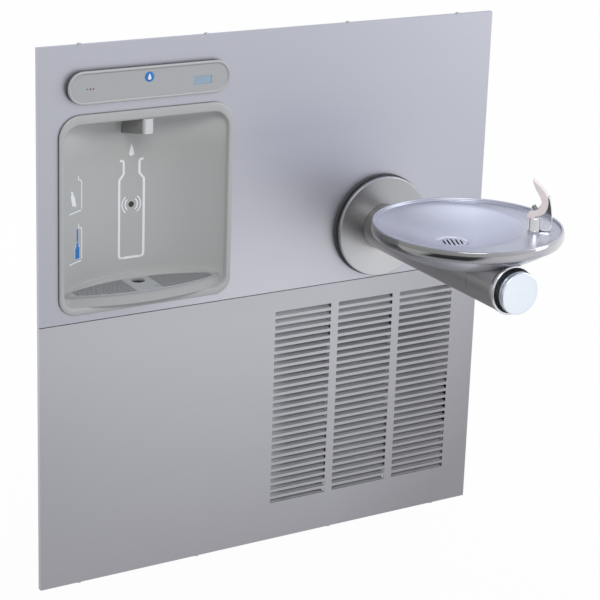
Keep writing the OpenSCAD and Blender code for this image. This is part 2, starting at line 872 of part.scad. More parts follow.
module tray_solid(z, inset, hug) {
    intersection() {
        rod_z(alcove_x, tray_y0 + tray_r, z, tray_r - inset, $fn = fine);
        rod_z(alcove_x, wall_cy, z, wall_r - hug, $fn = fine);
        block([alcove_x - win_half + hug, alcove_x + win_half - hug], [tray_y0 - over, wall_y], z);
    }
}

module drip_basin() color("#A8A9A4") {
    intersection() {
        slab(tray_y0 - over, wall_y) translate([alcove_x, 0])
            arch(win_half - run_fit, win_z0, win_z1, frame_r0 - rim_side, frame_r1 - rim_side);
        difference() {
            union() {
                tray_solid([win_z0, tray_top], lip_over, run_fit);
                difference() {
                    tray_solid([tray_top - over, grille_z + cove_h], lip_over, run_fit);
                    rod_z(alcove_x, wall_cy, [grille_z, crest_z], wall_r - cove_t, $fn = fine);
                    rod_z(alcove_x, grille_y1 - grille_r, [tray_top, crest_z], grille_r + fit, $fn = fine);
                }
            }
            tray_solid([win_z0 + tray_t, tray_top + over], lip_over + tray_t, tray_t + cove_t);
            translate([0, 0, tray_top]) intersection() {
                rod_z(alcove_x, grille_y1 - grille_r, [0, grille_t + over], grille_r + fit, $fn = fine);
                rod_z(alcove_x, wall_cy, [0, grille_t + over], wall_r - cove_t, $fn = fine);
            }
            rod_z(alcove_x, tray_drain_y, [win_z0 - over, win_z0 + 2 * tray_t], tray_drain_r);
        }
    }
}

module drip_grille() color("#8C8D8A") {
    difference() {
        intersection() {
            rod_z(alcove_x, tray_y0 + tray_r, [tray_top, grille_z], tray_r, $fn = fine);
            rod_z(alcove_x, grille_y1 - grille_r, [tray_top, grille_z], grille_r, $fn = fine);
            rod_z(alcove_x, wall_cy, [tray_top, grille_z], wall_r - cove_t - fit, $fn = fine);
        }
        translate([alcove_x, 0, tray_top - over]) linear_extrude(grille_t + 2 * over) {
            translate([0, well_y]) circle(r = well_r);
            translate(slot_at) rotate(-slot_w) stadium(slot_l, slot_w);
            for (s = [-1, 1], i = [0:perf_nx - 1], j = [0:perf_ny - 1])
                translate([s * (perf_x0 + perf_step * (i + (j % 2) / 2)), perf_y0 + perf_step * j
                    + (i > perf_nx / 2 ? -perf_step / 2 : 0)])
                    if (!(s > 0 && j == 0)) circle(r = perf_r, $fn = 16);
        }
    }
}

module tray_drain_tube() color("#6E7073") {
    pipe([[alcove_x, tray_drain_y, win_z0], [alcove_x, tray_drain_y, rail_z0 - rail_half],
        [alcove_x, trap_y, rail_z0 - rail_half], [arm_x - trap_w / 2, trap_y, rail_z0 - rail_half]],
        tray_drain_r + tray_t - fit, tray_drain_r);
}

module sensor_lens() color("#1B1D1F") {
    rod_y(alcove_x, [wall_y - over / 3, wall_y + 2 * liner_t], sensor_z, lens_r);
}

module sensor_housing() color("#33363A") {
    y0 = wall_y + 2 * liner_t;
    x = sensor_box[0] / 2;
    z = sensor_box[2] / 2;
    difference() {
        block([alcove_x - x, alcove_x + x], [wall_y + liner_t, y0 + sensor_box[1]],
            [sensor_z - z, sensor_z + z]);
        rod_y(alcove_x, [wall_y, y0], sensor_z, lens_r + run_fit);
    }
}

module display_bezel() color("#A3A5A3") {
    w = bezel_w - 2 * bezel_rim;
    h = bezel_h - 2 * bezel_rim;
    back = face_y - bezel_proud + face_drop + face_t;
    difference() {
        slab(face_y - bezel_proud, face_y) translate(bezel_at) stadium(bezel_w, bezel_h);
        slab(face_y - bezel_proud - over, back) translate(bezel_at) stadium(w, h);
        slab(back - over, face_y + over) translate(bezel_at) stadium(w - 2 * face_ledge, h - 2 * face_ledge);
    }
}

module display_face() color("#9B9DA0") {
    y = face_y - bezel_proud + face_drop;
    difference() {
        slab(y, y + face_t) translate(bezel_at)
            stadium(bezel_w - 2 * bezel_rim - fit, bezel_h - 2 * bezel_rim - fit);
        slab(y - over, y + face_t + over) translate(bezel_at) {
            translate(lcd_off) square(lcd_size, center = true);
            for (i = [0:led_n - 1]) translate([led_off[0] + i * led_step, led_off[1]]) circle(r = led_r);
        }
    }
}

module lcd_window() color("#B9CBDD") {
    y = face_y - bezel_proud + face_drop;
    slab(y + face_t / 3, y + face_t + board_gap) translate(bezel_at + lcd_off)
        square([lcd_size[0] - fit, lcd_size[1] - fit], center = true);
}

module status_leds() color("#5E8F8A") {
    y = face_y - bezel_proud + face_drop;
    for (i = [0:led_n - 1]) rod_y(bezel_at[0] + led_off[0] + i * led_step,
        [y, y + face_t + board_gap], bezel_at[1] + led_off[1], led_r - run_fit);
}

module control_board() color("#2F6B46") {
    y = face_y - bezel_proud + face_drop + face_t + board_gap;
    w = bezel_w - 2 * (bezel_rim + face_ledge);
    h = bezel_h - 2 * (bezel_rim + face_ledge);
    slab(y, y + board_t) translate(bezel_at) stadium(w - fit, h - fit);
}

module solenoid_valve() color("#D9DBDC") {
    x = valve_box[0] / 2;
    y1 = valve_y0 + valve_box[1];
    difference() {
        union() {
            block([alcove_x - x, alcove_x + x], [valve_y0, y1], [valve_z0, valve_z0 + valve_box[2]]);
            rod_z(alcove_x, y1 - x, [valve_z0 - x, valve_z0], port_r);
        }
        rod_y(alcove_x, [valve_y0 - over, y1 - x], filler_z, filler_r - tube_t);
        rod_z(alcove_x, y1 - x, [valve_z0 - x - over, filler_z], filler_r - tube_t);
    }
}

module solenoid_coil() color("#2A2C2F") {
    z = valve_z0 + valve_box[2];
    rod_z(alcove_x, valve_y0 + valve_box[1] / 2, [z, z + coil_h], coil_r);
    rod_z(alcove_x, valve_y0 + valve_box[1] / 2, [z, z + coil_h + over], coil_r / 3);
}

module escutcheon() color("#B9B8B4") {
    h1 = panel_depth + esc_proud;
    h0 = panel_depth + esc_ring_t;
    r0 = arm_r + fit / 2;
    translate([arm_x, 0, arm_z]) rotate([90, 0, 0]) rotate_extrude() difference() {
        union() {
            translate([0, h0]) square([esc_r, h1 - h0 - esc_edge]);
            translate([0, h0]) square([esc_r - esc_edge, h1 - h0]);
            translate([esc_r - esc_edge, h1 - esc_edge]) circle(r = esc_edge);
        }
        polygon([[0, h1 + over], [0, h1 - esc_dish], [r0, h1 - esc_dish],
            [esc_r - 2 * esc_edge, h1], [esc_r - 2 * esc_edge, h1 + over]]);
        square([r0, 2 * h1]);
        square([esc_r - sheet_t, h1 - 2 * esc_edge]);
        square([esc_r - 2 * esc_edge, h1 - esc_dish - sheet_t]);
    }
}

module escutcheon_ring() color("#55575A") {
    difference() {
        rod_y(arm_x, [face_y - esc_ring_t, face_y], arm_z, esc_ring_r);
        rod_y(arm_x, [face_y - 2 * esc_ring_t, face_y + over], arm_z, esc_ring_r - esc_ring_w);
    }
}

module arm_tube() color("#A19D98") {
    difference() {
        rod_y(arm_x, [seam_y, fl_y1], arm_z, arm_r);
        rod_y(arm_x, [seam_y - over, fl_y1 + over], arm_z, arm_in);
        rod_z(dish_x, dish_y, [arm_z, crest_z], drain_r);
        rod_z(dish_x, dish_y, [arm_z + arm_r * 0.8, crest_z], 2 * drain_r - over);
    }
}

module arm_sleeve() color("#A19D98") {
    difference() {
        union() {
            difference() {
                rod_y(arm_x, [collar_y1, seam_y - seam_gap], arm_z, arm_r);
                rod_y(arm_x, [collar_y1 - over, seam_y], arm_z, arm_in);
            }
            difference() {
                rod_y(arm_x, [seam_y - spigot_l, seam_y + spigot_l], arm_z, arm_in - run_fit);
                rod_y(arm_x, [seam_y - 2 * spigot_l, seam_y + 2 * spigot_l], arm_z, arm_in - spigot_t);
            }
            difference() {
                rod_y(arm_x, [seam_y - spigot_l, seam_y - seam_gap - over], arm_z, arm_in + run_fit);
                rod_y(arm_x, [seam_y - 2 * spigot_l, seam_y], arm_z, arm_in - spigot_t);
            }
            rod_y(arm_x, [web_y, web_y + web_t], arm_z, arm_in + run_fit);
        }
        rod_y(arm_x, [web_y - over, web_y + web_t + over], arm_z, neck_r + run_fit);
        rod_z(arm_x, outlet_y, [arm_z, crest_z], port_r + fit);
    }
}

module arm_flange() color("#9A9CA0") {
    difference() {
        rod_y(arm_x, [flange_y, fl_y1], arm_z, flange_r);
        rod_y(arm_x, [flange_y - over, fl_y1 + over], arm_z, arm_r + run_fit);
        bolt_places() rod_y(0, [flange_y - over, fl_y1 + over], 0, bolt_r + run_fit);
    }
}

module arm_bolts() color("#C2C4C8") {
    bolt_places() {
        rod_y(0, [flange_y - bolt_head_h, flange_y], 0, bolt_head_r, $fn = 6);
        rod_y(0, [flange_y - over, carrier_y1 + bolt_head_h + over], 0, bolt_r);
        rod_y(0, [carrier_y1, carrier_y1 + bolt_head_h], 0, bolt_head_r, $fn = 6);
    }
}

module button_collar() color("#D8DADC") {
    e = (collar_r - collar_in) / 3;
    translate([arm_x, 0, arm_z]) rotate([90, 0, 0]) rotate_extrude() {
        translate([collar_in, -collar_y1]) square([collar_r - collar_in, collar_y1 - collar_y0 - e]);
        translate([collar_in + e, -collar_y1]) square([e, collar_y1 - collar_y0]);
        for (r = [collar_in + e, collar_r - e]) translate([r, -collar_y0 - e]) circle(r = e);
    }
}

module push_button() color("#D8DADC") {
    translate([arm_x, 0, arm_z]) rotate([90, 0, 0]) rotate_extrude() {
        translate([0, -button_y - button_t]) square([button_r - button_edge, button_t]);
        translate([button_r - button_edge, -button_y - button_edge]) circle(r = button_edge);
        translate([button_r - skirt_t, -skirt_y]) square([skirt_t, skirt_y - button_y - button_edge]);
        translate([0, -button_y - button_t - boss_l]) square([boss_r, boss_l + over]);
    }
}

module button_stem() color("#C8A45A") {
    y = button_y + button_t + boss_l;
    rod_y(arm_x, [y, y + stem_l], arm_z, stem_r);
}

function ring_point(t, a, l) = [
    (spring_r + wire_r * cos(a)) * cos(t * spring_turns * 360),
    (spring_r + wire_r * cos(a)) * sin(t * spring_turns * 360),
    wire_r + t * (l - 2 * wire_r) + wire_r * sin(a)
];

module button_spring() color("#8A8D91") {
    l = web_y - button_y - button_t;
    sides = 6;
    n = spring_turns * 12;
    pts = [for (i = [0:n], k = [0:sides - 1]) ring_point(i / n, k * 360 / sides, l)];
    skin = [for (i = [0:n - 1], k = [0:sides - 1])
        let (a = i * sides + k, b = i * sides + (k + 1) % sides)
        for (f = [[a, b, a + sides], [b, b + sides, a + sides]]) f];
    caps = [[for (k = [0:sides - 1]) sides - 1 - k], [for (k = [0:sides - 1]) n * sides + k]];
    translate([arm_x, web_y, arm_z]) rotate([90, 0, 0]) polyhedron(pts, concat(skin, caps));
}

module push_valve() color("#C8A45A") {
    difference() {
        union() {
            rod_y(arm_x, [web_y + web_t, valve_y1], arm_z, valve_r);
            rod_y(arm_x, [web_y - neck_l, web_y + web_t + over], arm_z, neck_r);
            rod_y(arm_x, [valve_y1 - over, valve_y1 + valve_r], arm_z, port_r);
            rod_z(arm_x, outlet_y, [arm_z, arm_z + 2 * valve_r], port_r);
        }
        rod_y(arm_x, [web_y - 2 * neck_l, stem_bore_y], arm_z, stem_r + run_fit);
    }
}

module basin() color("#B4B9C4") {
    steps = 12;
    rim = [for (i = [0:steps]) [rim_r + rim_bulge * sin(180 * i / steps),
        -crest_r - (rim_h - crest_r) * i / steps]];
    crest = [for (a = [0:15:150]) [rim_r - crest_r + crest_r * cos(a), -crest_r + crest_r * sin(a)]];
    difference() {
        union() {
            translate([basin_at[0], basin_at[1], crest_z]) rotate_extrude() {
                translate([0, -deck_drop - bowl_t]) square([rim_r - 2 * crest_r, bowl_t]);
                polygon(concat(
                    [for (p = crest) p],
                    [[rim_r - 2 * crest_r, -deck_drop], [rim_r - 2 * crest_r, -deck_drop - bowl_t],
                        [rim_r - crest_r, -deck_drop]],
                    [for (i = [2:steps]) [rim[i][0] - bowl_t, rim[i][1] + bowl_t / 4]],
                    [[lip_r + bowl_t / 4, -rim_h - crest_r + bowl_t], [lip_r, -rim_h - crest_r]],
                    [for (i = [0:steps - 1]) rim[steps - i]]
                ));
            }
            intersection() {
                translate([dish_x, dish_y, floor_z + dish_r]) sphere(r = dish_r + bowl_t);
                rod_z(dish_x, dish_y, [floor_z - 2 * bowl_t, deck_z - bowl_t / 2], rim_r);
            }
            rod_z(bubbler_at[0], bubbler_at[1], [deck_z - bowl_t / 2, deck_z + pad_h], pad_r);
        }
        translate([dish_x, dish_y, floor_z + dish_r]) sphere(r = dish_r);
        rod_z(dish_x, dish_y, [floor_z - 3 * bowl_t, deck_z], drain_r + fit / 2);
        rod_z(bubbler_at[0], bubbler_at[1], [deck_z - 2 * bowl_t, deck_z + 2 * pad_h], shank_r + run_fit);
    }
}

module basin_shroud() color("#8E8D8C") {
    at = [basin_at[0], basin_at[1], shroud_cz];
    difference() {
        intersection() {
            translate(at) sphere(r = shroud_r);
            rod_z(at[0], at[1], [0, lip_z - fit / 3], rim_r);
        }
        translate(at) sphere(r = shroud_r - shroud_t);
        rod_y(arm_x, [at[1] - 2 * rim_r, 0], arm_z, arm_r + fit);
        rod_y(arm_x, [at[1] - 2 * rim_r, collar_y1 + over], arm_z, collar_r + fit);
    }
}

module strainer() color("#AEB2BC") {
    z = drain_top;
    difference() {
        rod_z(dish_x, dish_y, [z - strainer_t, z], drain_r - 1.5 * over);
        translate([dish_x, dish_y, z - 2 * strainer_t]) rotate(strainer_turn)
            linear_extrude(3 * strainer_t) for (i = [-2:2])
                translate([i * strainer_step, 0]) rotate(90)
                    stadium(strainer_l * (1 - abs(i) / 5), strainer_w);
    }
}

module drain_body() color("#A6A9AF") {
    z = drain_top;
    under = floor_z - bowl_t / 2 - 2 * over;
    seat = drain_r - 1.5 * over + run_fit;
    translate([dish_x, dish_y, 0]) rotate_extrude() {
        translate([cup_r - cup_t, cup_z]) square([cup_t, z - strainer_t - cup_z]);
        translate([cup_r - cup_t, under]) square([drain_r - cup_r + cup_t, z - strainer_t - under]);
        translate([seat, under]) square([drain_r - seat, z - under]);
        translate([seat, under]) square([drain_r - seat + 2 * over, floor_z - bowl_t * 0.2 - under]);
        translate([waste_r - cup_t, cup_z]) square([cup_r - waste_r + cup_t, cup_t]);
    }
}

module waste_tube() color("#85888C") {
    z = waste_z;
    pipe([[dish_x, dish_y, cup_z], [dish_x, dish_y, z], [dish_x, trap_y, z],
        [dish_x, trap_y, z - 2 * trap_r]], waste_r, waste_r - cup_t);
}

module waste_trap() color("#4A4D50") {
    x = dish_x + trap_w;
    difference() {
        union() {
            pipe([[dish_x, trap_y, waste_z - 2 * trap_r], [dish_x, trap_y, trap_z0],
                [x, trap_y, trap_z0], [x, trap_y, outlet_z], [x, out_y, outlet_z]],
                trap_r, waste_r - cup_t);
            rod_y(x, [out_y - outlet_l, out_y], outlet_z, outlet_r);
        }
        rod_y(x, [out_y - outlet_l - over, out_y + over], outlet_z, waste_r - cup_t);
    }
}

// Side outlines of the bubbler as shares of its height: along the stream, then up
seam_shares = [
    [-0.134, 0.619], [-0.149, 0.515], [-0.129, 0.412], [-0.119, 0.361], [-0.023, 0.305],
    [0.121, 0.255]
];
tower_shares = [
    [0.121, 0.036], [-0.289, 0.036], [-0.286, 0.082], [-0.186, 0.691], [-0.165, 0.703],
    [-0.143, 0.703]
];
guard_shares = [
    [0.163, 0.269], [0.121, 0.357], [0.073, 0.42], [-0.059, 0.432], [-0.046, 0.501],
    [-0.076, 0.557], [-0.082, 0.633], [-0.023, 0.707], [0.049, 0.833], [0.093, 1],
    [-0.023, 0.896], [-0.13, 0.77], [-0.18, 0.716], [-0.143, 0.703]
];

module at_bubbler() {
    translate([bubbler_at[0], bubbler_at[1], deck_z]) rotate(bubbler_turn) children();
}

module side(shares, half) {
    rotate([90, 0, 0]) translate([0, 0, -half]) linear_extrude(2 * half)
        polygon([for (p = shares) p * bubbler_h]);
}

module oval(half, tail, nose) {
    translate([tail + half, -half]) square([nose - tail - 2 * half, 2 * half]);
    for (x = [tail + half, nose - half]) translate([x, 0]) circle(r = half);
}

module jet(r, more) {
    translate([-bubbler_h * jet_back_share, 0, bubbler_h * jet_up_share]) rotate([0, jet_lean, 0])
        translate([0, 0, -more]) cylinder(r = r, h = jet_l + 2 * more);
}

module bubbler_body() color("#C9CCD2") {
    tail = tower_shares[1][0] * bubbler_h;
    at_bubbler() difference() {
        union() {
            intersection() {
                side(concat(tower_shares, seam_shares), base_r);
                linear_extrude(bubbler_h) {
                    oval(tower_half, tail, base_r);
                    circle(r = base_r);
                }
            }
            translate([0, 0, -shank_l]) cylinder(r = shank_r, h = shank_l + pad_h + over);
        }
        translate([0, 0, -shank_l - over]) cylinder(r = shank_bore, h = shank_l + pad_h + base_r);
        jet(jet_r + run_fit, run_fit);
    }
}

module bubbler_nozzle() color("#6C6F76") {
    at_bubbler() difference() {
        jet(jet_r, 0);
        translate([-bubbler_h * jet_back_share, 0, bubbler_h * jet_up_share]) rotate([0, jet_lean, 0])
            translate([0, 0, jet_l / 3]) cylinder(r = jet_r / 2, h = jet_l);
    }
}

module bubbler_guard() color("#D8BEB8") {
    n = len(seam_shares) - 1;
    at_bubbler() difference() {
        intersection() {
            side(concat([for (i = [0:n]) seam_shares[i]], guard_shares), base_r);
            linear_extrude(2 * bubbler_h) oval(guard_half, -bubbler_h / 4, bubbler_h / 6);
        }
        jet(jet_r + run_fit, jet_l);
    }
}

module bubbler_nut() color("#C8A45A") {
    z = deck_z - bowl_t;
    under = z - 2 * bowl_t;
    difference() {
        union() {
            rod_z(bubbler_at[0], bubbler_at[1], [under - shank_nut_h, under], shank_nut_r, $fn = 6);
            rod_z(bubbler_at[0], bubbler_at[1], [under - over, z], shank_r + bowl_t);
        }
        rod_z(bubbler_at[0], bubbler_at[1], [z - 2 * shank_nut_h, z + over], shank_r + run_fit);
    }
}

module supply_tube() color("#B87B4E") {
    z = deck_z - shank_l - 2.4 * line_r;
    pipe([[arm_x, outlet_y, arm_z + 2 * valve_r], [arm_x, outlet_y, z], [bubbler_at[0], outlet_y, z],
        [bubbler_at[0], bubbler_at[1], z], [bubbler_at[0], bubbler_at[1], deck_z - shank_l]],
        line_r, line_r - tube_t);
}

module water_lines() color("#DDE3EA") {
    port_z = filter_z1 + head_h / 2;
    side_x = fx - filter_r - 4 * line_r;
    side_y = trap_y - 2 * trap_r + 2 * line_r;
    x2 = arm_x + arm_in - 3 * line_r;
    y2 = rail_y + 11 * line_r;
    behind = trap_y + 5 * line_r;
    tank_x = tank_at[0] - tank_r / 2;
    feed_y = valve_y0 + valve_box[1] - valve_box[0] / 2;
    feed_z = valve_z0 - 2 * coil_r;
    r = line_r - tube_t;
    pipe([[stop_at[0], fy, stop_at[1] + 2 * stop_r], [stop_at[0], fy, port_z],
        [fx + filter_r + over, fy, port_z]], line_r, r);
    pipe([[fx - filter_r - over, fy, port_z], [side_x, fy, port_z], [side_x, side_y, port_z],
        [side_x, side_y, 3 * cross_z], [tank_at[0] + tank_r / 2, side_y, 3 * cross_z],
        [tank_at[0] + tank_r / 2, side_y, tank_top]], line_r, r);
    pipe([[tank_x, behind, tank_top], [tank_x, behind, feed_z], [alcove_x, behind, feed_z],
        [alcove_x, feed_y, feed_z], [alcove_x, feed_y, valve_z0 - valve_box[0] / 2]], line_r, r);
    pipe([[tank_at[0], y2, tank_top], [tank_at[0], y2, 3 * cross_z], [x2, y2, 3 * cross_z], [x2, y2, arm_z],
        [x2, valve_y1 + 4 * valve_r, arm_z], [arm_x, valve_y1 + 4 * valve_r, arm_z],
        [arm_x, valve_y1 + valve_r, arm_z]], line_r, r);
}

module filter_head() color("#2E6FA8") {
    difference() {
        union() {
            rod_z(fx, fy, [filter_z1, head_z1], filter_r + over);
            block([fx - filter_r / 2, arm_x - carrier_half], [fl_y1, fy], [head_z1 - 2 * frame_t, head_z1]);
        }
        rod_z(fx, fy, [filter_z1 - over, filter_z1 + filter_neck_h + fit], filter_neck_r + run_fit);
        rod_z(fx, fy, [filter_z1 + filter_neck_h / 4, filter_z1 + filter_neck_h * 0.75],
            filter_neck_r + lug_l + 3 * fit);
        block([fx - filter_r, fx + filter_r], [fy - lug_l - fit, fy + lug_l + fit],
            [filter_z1 - over, filter_z1 + filter_neck_h / 2]);
    }
}

module filter_cartridge() color("#E9EBEC") {
    translate([fx, fy, filter_z0]) pot(filter_r, filter_z1 - filter_z0 - fit, tank_edge);
    rod_z(fx, fy, [filter_z1 - over, filter_z1 + filter_neck_h], filter_neck_r);
    block([fx - filter_neck_r - lug_l, fx + filter_neck_r + lug_l], [fy - lug_l, fy + lug_l],
        [filter_z1 + filter_neck_h / 3, filter_z1 + filter_neck_h * 0.7]);
}

module stop_valve() color("#C9B27A") {
    x = stop_at[0];
    z = stop_at[1];
    y1 = stop_y;
    difference() {
        union() {
            rod_y(x, [fy - stop_r, y1], z, stop_r);
            rod_y(x, [y1 - over, out_y], z, inlet_r);
            rod_z(x, fy, [z, z + 2 * stop_r], port_r);
            rod_y(x, [fy - 2 * stop_r, fy], z, stem_r);
        }
        rod_y(x, [y1 - 2 * stop_r, out_y + over], z, inlet_r - cup_t);
    }
}

module stop_valve_handle() color("#2D62A3") {
    x = stop_at[0];
    z = stop_at[1];
    y1 = fy - stop_r - fit;
    difference() {
        union() {
            slab(y1 - handle_t, y1) translate(stop_at) stadium(handle_size[0], handle_size[1]);
            rod_y(x, [y1 - handle_t, y1], z, handle_size[1] / 2);
        }
        rod_y(x, [y1 - 2 * handle_t, y1 + over], z, stem_r + run_fit);
    }
}

module chiller_base() color("#9EA2A7") {
    for (x = [base_x[0], base_x[1] - frame_t]) translate([x, 0, base_z]) rotate([90, 0, 90])
        linear_extrude(frame_t) polygon([[base_y[0], 0], [base_y[1], 0], [base_y[1], foot_h],
            [box_y - frame_t, gusset_h], [base_y[0], gusset_h]]);
    block(base_x, base_y, [base_z, base_z + frame_t]);
}

module feet_places() {
    for (x = [-1, 1], y = [-1, 1])
        translate([comp_at[0] + x * foot_half[0], comp_at[1] + y * foot_half[1], 0]) children();
}

module compressor() color("#1F2123") {
    z = comp_z0;
    block([comp_at[0] - foot_half[0] - foot_r, comp_at[0] + foot_half[0] + foot_r],
        [comp_at[1] - foot_half[1] - foot_r, comp_at[1] + foot_half[1] + foot_r], [z, z + foot_t]);
    translate([comp_at[0], comp_at[1], z + foot_t]) pot(comp_r, comp_h, comp_edge);
}

module compressor_feet() color("#2B2B2C") {
    feet_places() rod_z(0, 0, [base_z + frame_t, comp_z0], foot_r);
}

module condenser() color("#8E9499") {
    w = cond_x[1] - cond_x[0];
    h = cond_z[1] - cond_z[0];
    t = 3 * flat_h;
    for (x = [cond_x[0], cond_x[1] - t]) block([x, x + t], cond_y, cond_z);
    for (i = [1:fin_n]) translate([cond_x[0] + t / 2 + i * (w - t) / (fin_n + 1), 0, 0])
        block([-fin_t / 2, fin_t / 2], cond_y, cond_z);
    for (j = [1:flat_n]) translate([0, 0, cond_z[0] + j * h / (flat_n + 1)])
        block(cond_x, [cond_y[0] + flat_h, cond_y[1] - flat_h], [-flat_h / 2, flat_h / 2]);
    for (x = [cond_x[0], cond_x[1] - t])
        block([x, x + t], [cond_y[0] + t, cond_y[1] - t], [base_z + frame_t, cond_z[0] + over]);
}

module fan_shroud() color("#7E848A") {
    x = cond_x;
    z = cond_z;
    difference() {
        block(x, [cond_y[1], shroud_back], z);
        block([x[0] + frame_t, x[1] - frame_t], [cond_y[1] - over, shroud_back - frame_t],
            [z[0] + frame_t, z[1] - frame_t]);
        rod_y(fan_x, [cond_y[1], shroud_back + over], fan_z, fan_r + 2 * over);
    }
}

module fan_motor() color("#45494D") {
    leg_x = fan_r + 4 * over;
    rod_y(fan_x, [motor_y, motor_y + motor_l], fan_z, motor_r);
    rod_y(fan_x, [hub_y, motor_y + over], fan_z, shaft_r);
    block([fan_x - leg_x - frame_t, fan_x + leg_x + frame_t], [motor_y, motor_y + frame_t],
        [fan_z - bar_w / 2, fan_z + bar_w / 2]);
    for (s = [-1, 1]) translate([fan_x + s * leg_x, 0, fan_z])
        block([-frame_t, frame_t], [shroud_back, motor_y + frame_t], [-bar_w / 2, bar_w / 2]);
}

module fan_blades() color("#3A3D40") {
    difference() {
        union() {
            rod_y(fan_x, [hub_y, hub_y + hub_l], fan_z, hub_r);
            for (i = [0:blade_n - 1]) translate([fan_x, hub_y + hub_l / 2, fan_z])
                rotate([0, i * 360 / blade_n, 0]) translate([hub_r / 2, 0, 0])
                    rotate([vane_pitch, 0, 0]) translate([0, -vane_t / 2, -vane_w / 2 + hub_r / 4])
                        cube([fan_r - hub_r, vane_t, vane_w - hub_r / 2]);
        }
        rod_y(fan_x, [hub_y - over, hub_y + hub_l + over], fan_z, shaft_r + run_fit);
    }
}

module cooling_tank() color("#D8D6CE") {
    translate([tank_at[0], tank_at[1], base_z + frame_t]) pot(tank_r, tank_h, tank_edge);
}

module refrigerant_tubes() color("#B4713F") {
    r = cool_r - tube_t;
    z = comp_z0 + comp_h * 0.6;
    x1 = comp_at[0] + comp_r;
    x0 = comp_at[0] - comp_r;
    y = comp_at[1];
    mid = (x1 + cond_x[0]) / 2;
    low = cond_z[0] + 6 * cool_r;
    turn = (x0 + tank_at[0] + tank_r) / 2;
    pipe([[x1, y, z], [mid, y, z], [mid, y, cond_z[1] - 6 * cool_r],
        [mid, cond_y[0] + 4 * cool_r, cond_z[1] - 6 * cool_r],
        [cond_x[0], cond_y[0] + 4 * cool_r, cond_z[1] - 6 * cool_r]], cool_r, r);
    pipe([[cond_x[0], cond_y[0] + 2 * cool_r, low], [turn, cond_y[0] + 2 * cool_r, low],
        [turn, y, low], [tank_at[0] + tank_r, y, low]], cool_r, r);
    pipe([[x0, y, z], [tank_at[0] + tank_r, y, z]], cool_r, r);
}

module power_box() color("#6B6F74") {
    x1 = box_x - frame_t;
    y = box_y / 2;
    difference() {
        union() {
            block([x1 - power_box_size[0], x1], [y - power_box_size[1] / 2, y + power_box_size[1] / 2],
                [power_z - power_box_size[2] / 2, power_z + power_box_size[2] / 2]);
            rod_x([x1 - over, x1 + gland_l - frame_t], y, power_z, gland_r - 2 * over);
        }
        rod_x([x1 - power_box_size[0] / 2, x1 + gland_l], y, power_z, gland_bore);
    }
}

upper_panel();
lower_panel();
panel_screws();
wall_frame();
cross_rails();
arm_carrier();
alcove_liner();
liner_nuts();
spout_cowl();
spout_nozzle();
filler_tube();
drip_basin();
drip_grille();
tray_drain_tube();
sensor_lens();
sensor_housing();
display_bezel();
display_face();
lcd_window();
status_leds();
control_board();
solenoid_valve();
solenoid_coil();
escutcheon();
escutcheon_ring();
arm_tube();
arm_sleeve();
arm_flange();
arm_bolts();
button_collar();
push_button();
button_stem();
button_spring();
push_valve();
basin();
basin_shroud();
strainer();
drain_body();
waste_tube();
waste_trap();
bubbler_body();
bubbler_nozzle();
bubbler_guard();
bubbler_nut();
supply_tube();
water_lines();
filter_head();
filter_cartridge();
stop_valve();
stop_valve_handle();
chiller_base();
compressor();
compressor_feet();
condenser();
fan_shroud();
fan_motor();
fan_blades();
cooling_tank();
refrigerant_tubes();
power_box();
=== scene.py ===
# %% [markdown]
# # An in-wall drinking station
# The real object is two brushed steel panels over a frame in the wall. A grey plastic alcove
# fills bottles, and a steel basin stands out on a tube with a push button at its end. The CAD
# model is loaded first: it fixes every size and every body, and Blender adds the finishes and
# the fine shapes.

import math

import bmesh
import bpy
from mathutils import Matrix, Vector


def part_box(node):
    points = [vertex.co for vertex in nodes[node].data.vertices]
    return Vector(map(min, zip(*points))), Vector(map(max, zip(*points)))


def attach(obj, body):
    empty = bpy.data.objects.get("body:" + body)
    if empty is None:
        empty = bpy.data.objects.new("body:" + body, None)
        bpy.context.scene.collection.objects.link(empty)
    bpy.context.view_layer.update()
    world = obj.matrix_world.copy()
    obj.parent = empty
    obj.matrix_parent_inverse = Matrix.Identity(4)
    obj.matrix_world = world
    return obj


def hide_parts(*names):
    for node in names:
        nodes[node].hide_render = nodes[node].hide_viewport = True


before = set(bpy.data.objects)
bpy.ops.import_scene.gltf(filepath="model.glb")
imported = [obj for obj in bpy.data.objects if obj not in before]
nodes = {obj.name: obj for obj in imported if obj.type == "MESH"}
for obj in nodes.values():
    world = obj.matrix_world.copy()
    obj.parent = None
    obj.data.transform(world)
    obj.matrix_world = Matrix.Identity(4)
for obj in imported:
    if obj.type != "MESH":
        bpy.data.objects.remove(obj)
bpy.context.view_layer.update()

# %% [markdown]
# Lengths below are written in millimetres, as on the drawing, and turned to metres in one place.
# The wall surface is y = 0, the panels' faces are at y = -10, and the viewer stands on the -Y
# side.

# %% Units
MM = 0.001


def mm(*values):
    """Millimetres as a vector in metres."""
    return Vector([v * MM for v in values])


# %% [markdown]
# The camera stands where the photographer's did: to the left of the station and a little above
# it. The photograph is a crop of a larger picture, so the lens is shifted rather than turned,
# which keeps the upright edges of the panels as they are in the photograph.

# %% Camera
TARGET = mm(132.3, 0, 89.2)
DISTANCE = 3.918
AZIMUTH, ELEVATION, ROLL = (math.radians(a) for a in (-31.828, 17.219, 2.204))

back = Vector((math.sin(AZIMUTH) * math.cos(ELEVATION), -math.cos(AZIMUTH) * math.cos(ELEVATION),
               math.sin(ELEVATION)))
level = Vector((math.cos(AZIMUTH), math.sin(AZIMUTH), 0))
upright = back.cross(level)
right = level * math.cos(ROLL) + upright * math.sin(ROLL)
up = upright * math.cos(ROLL) - level * math.sin(ROLL)

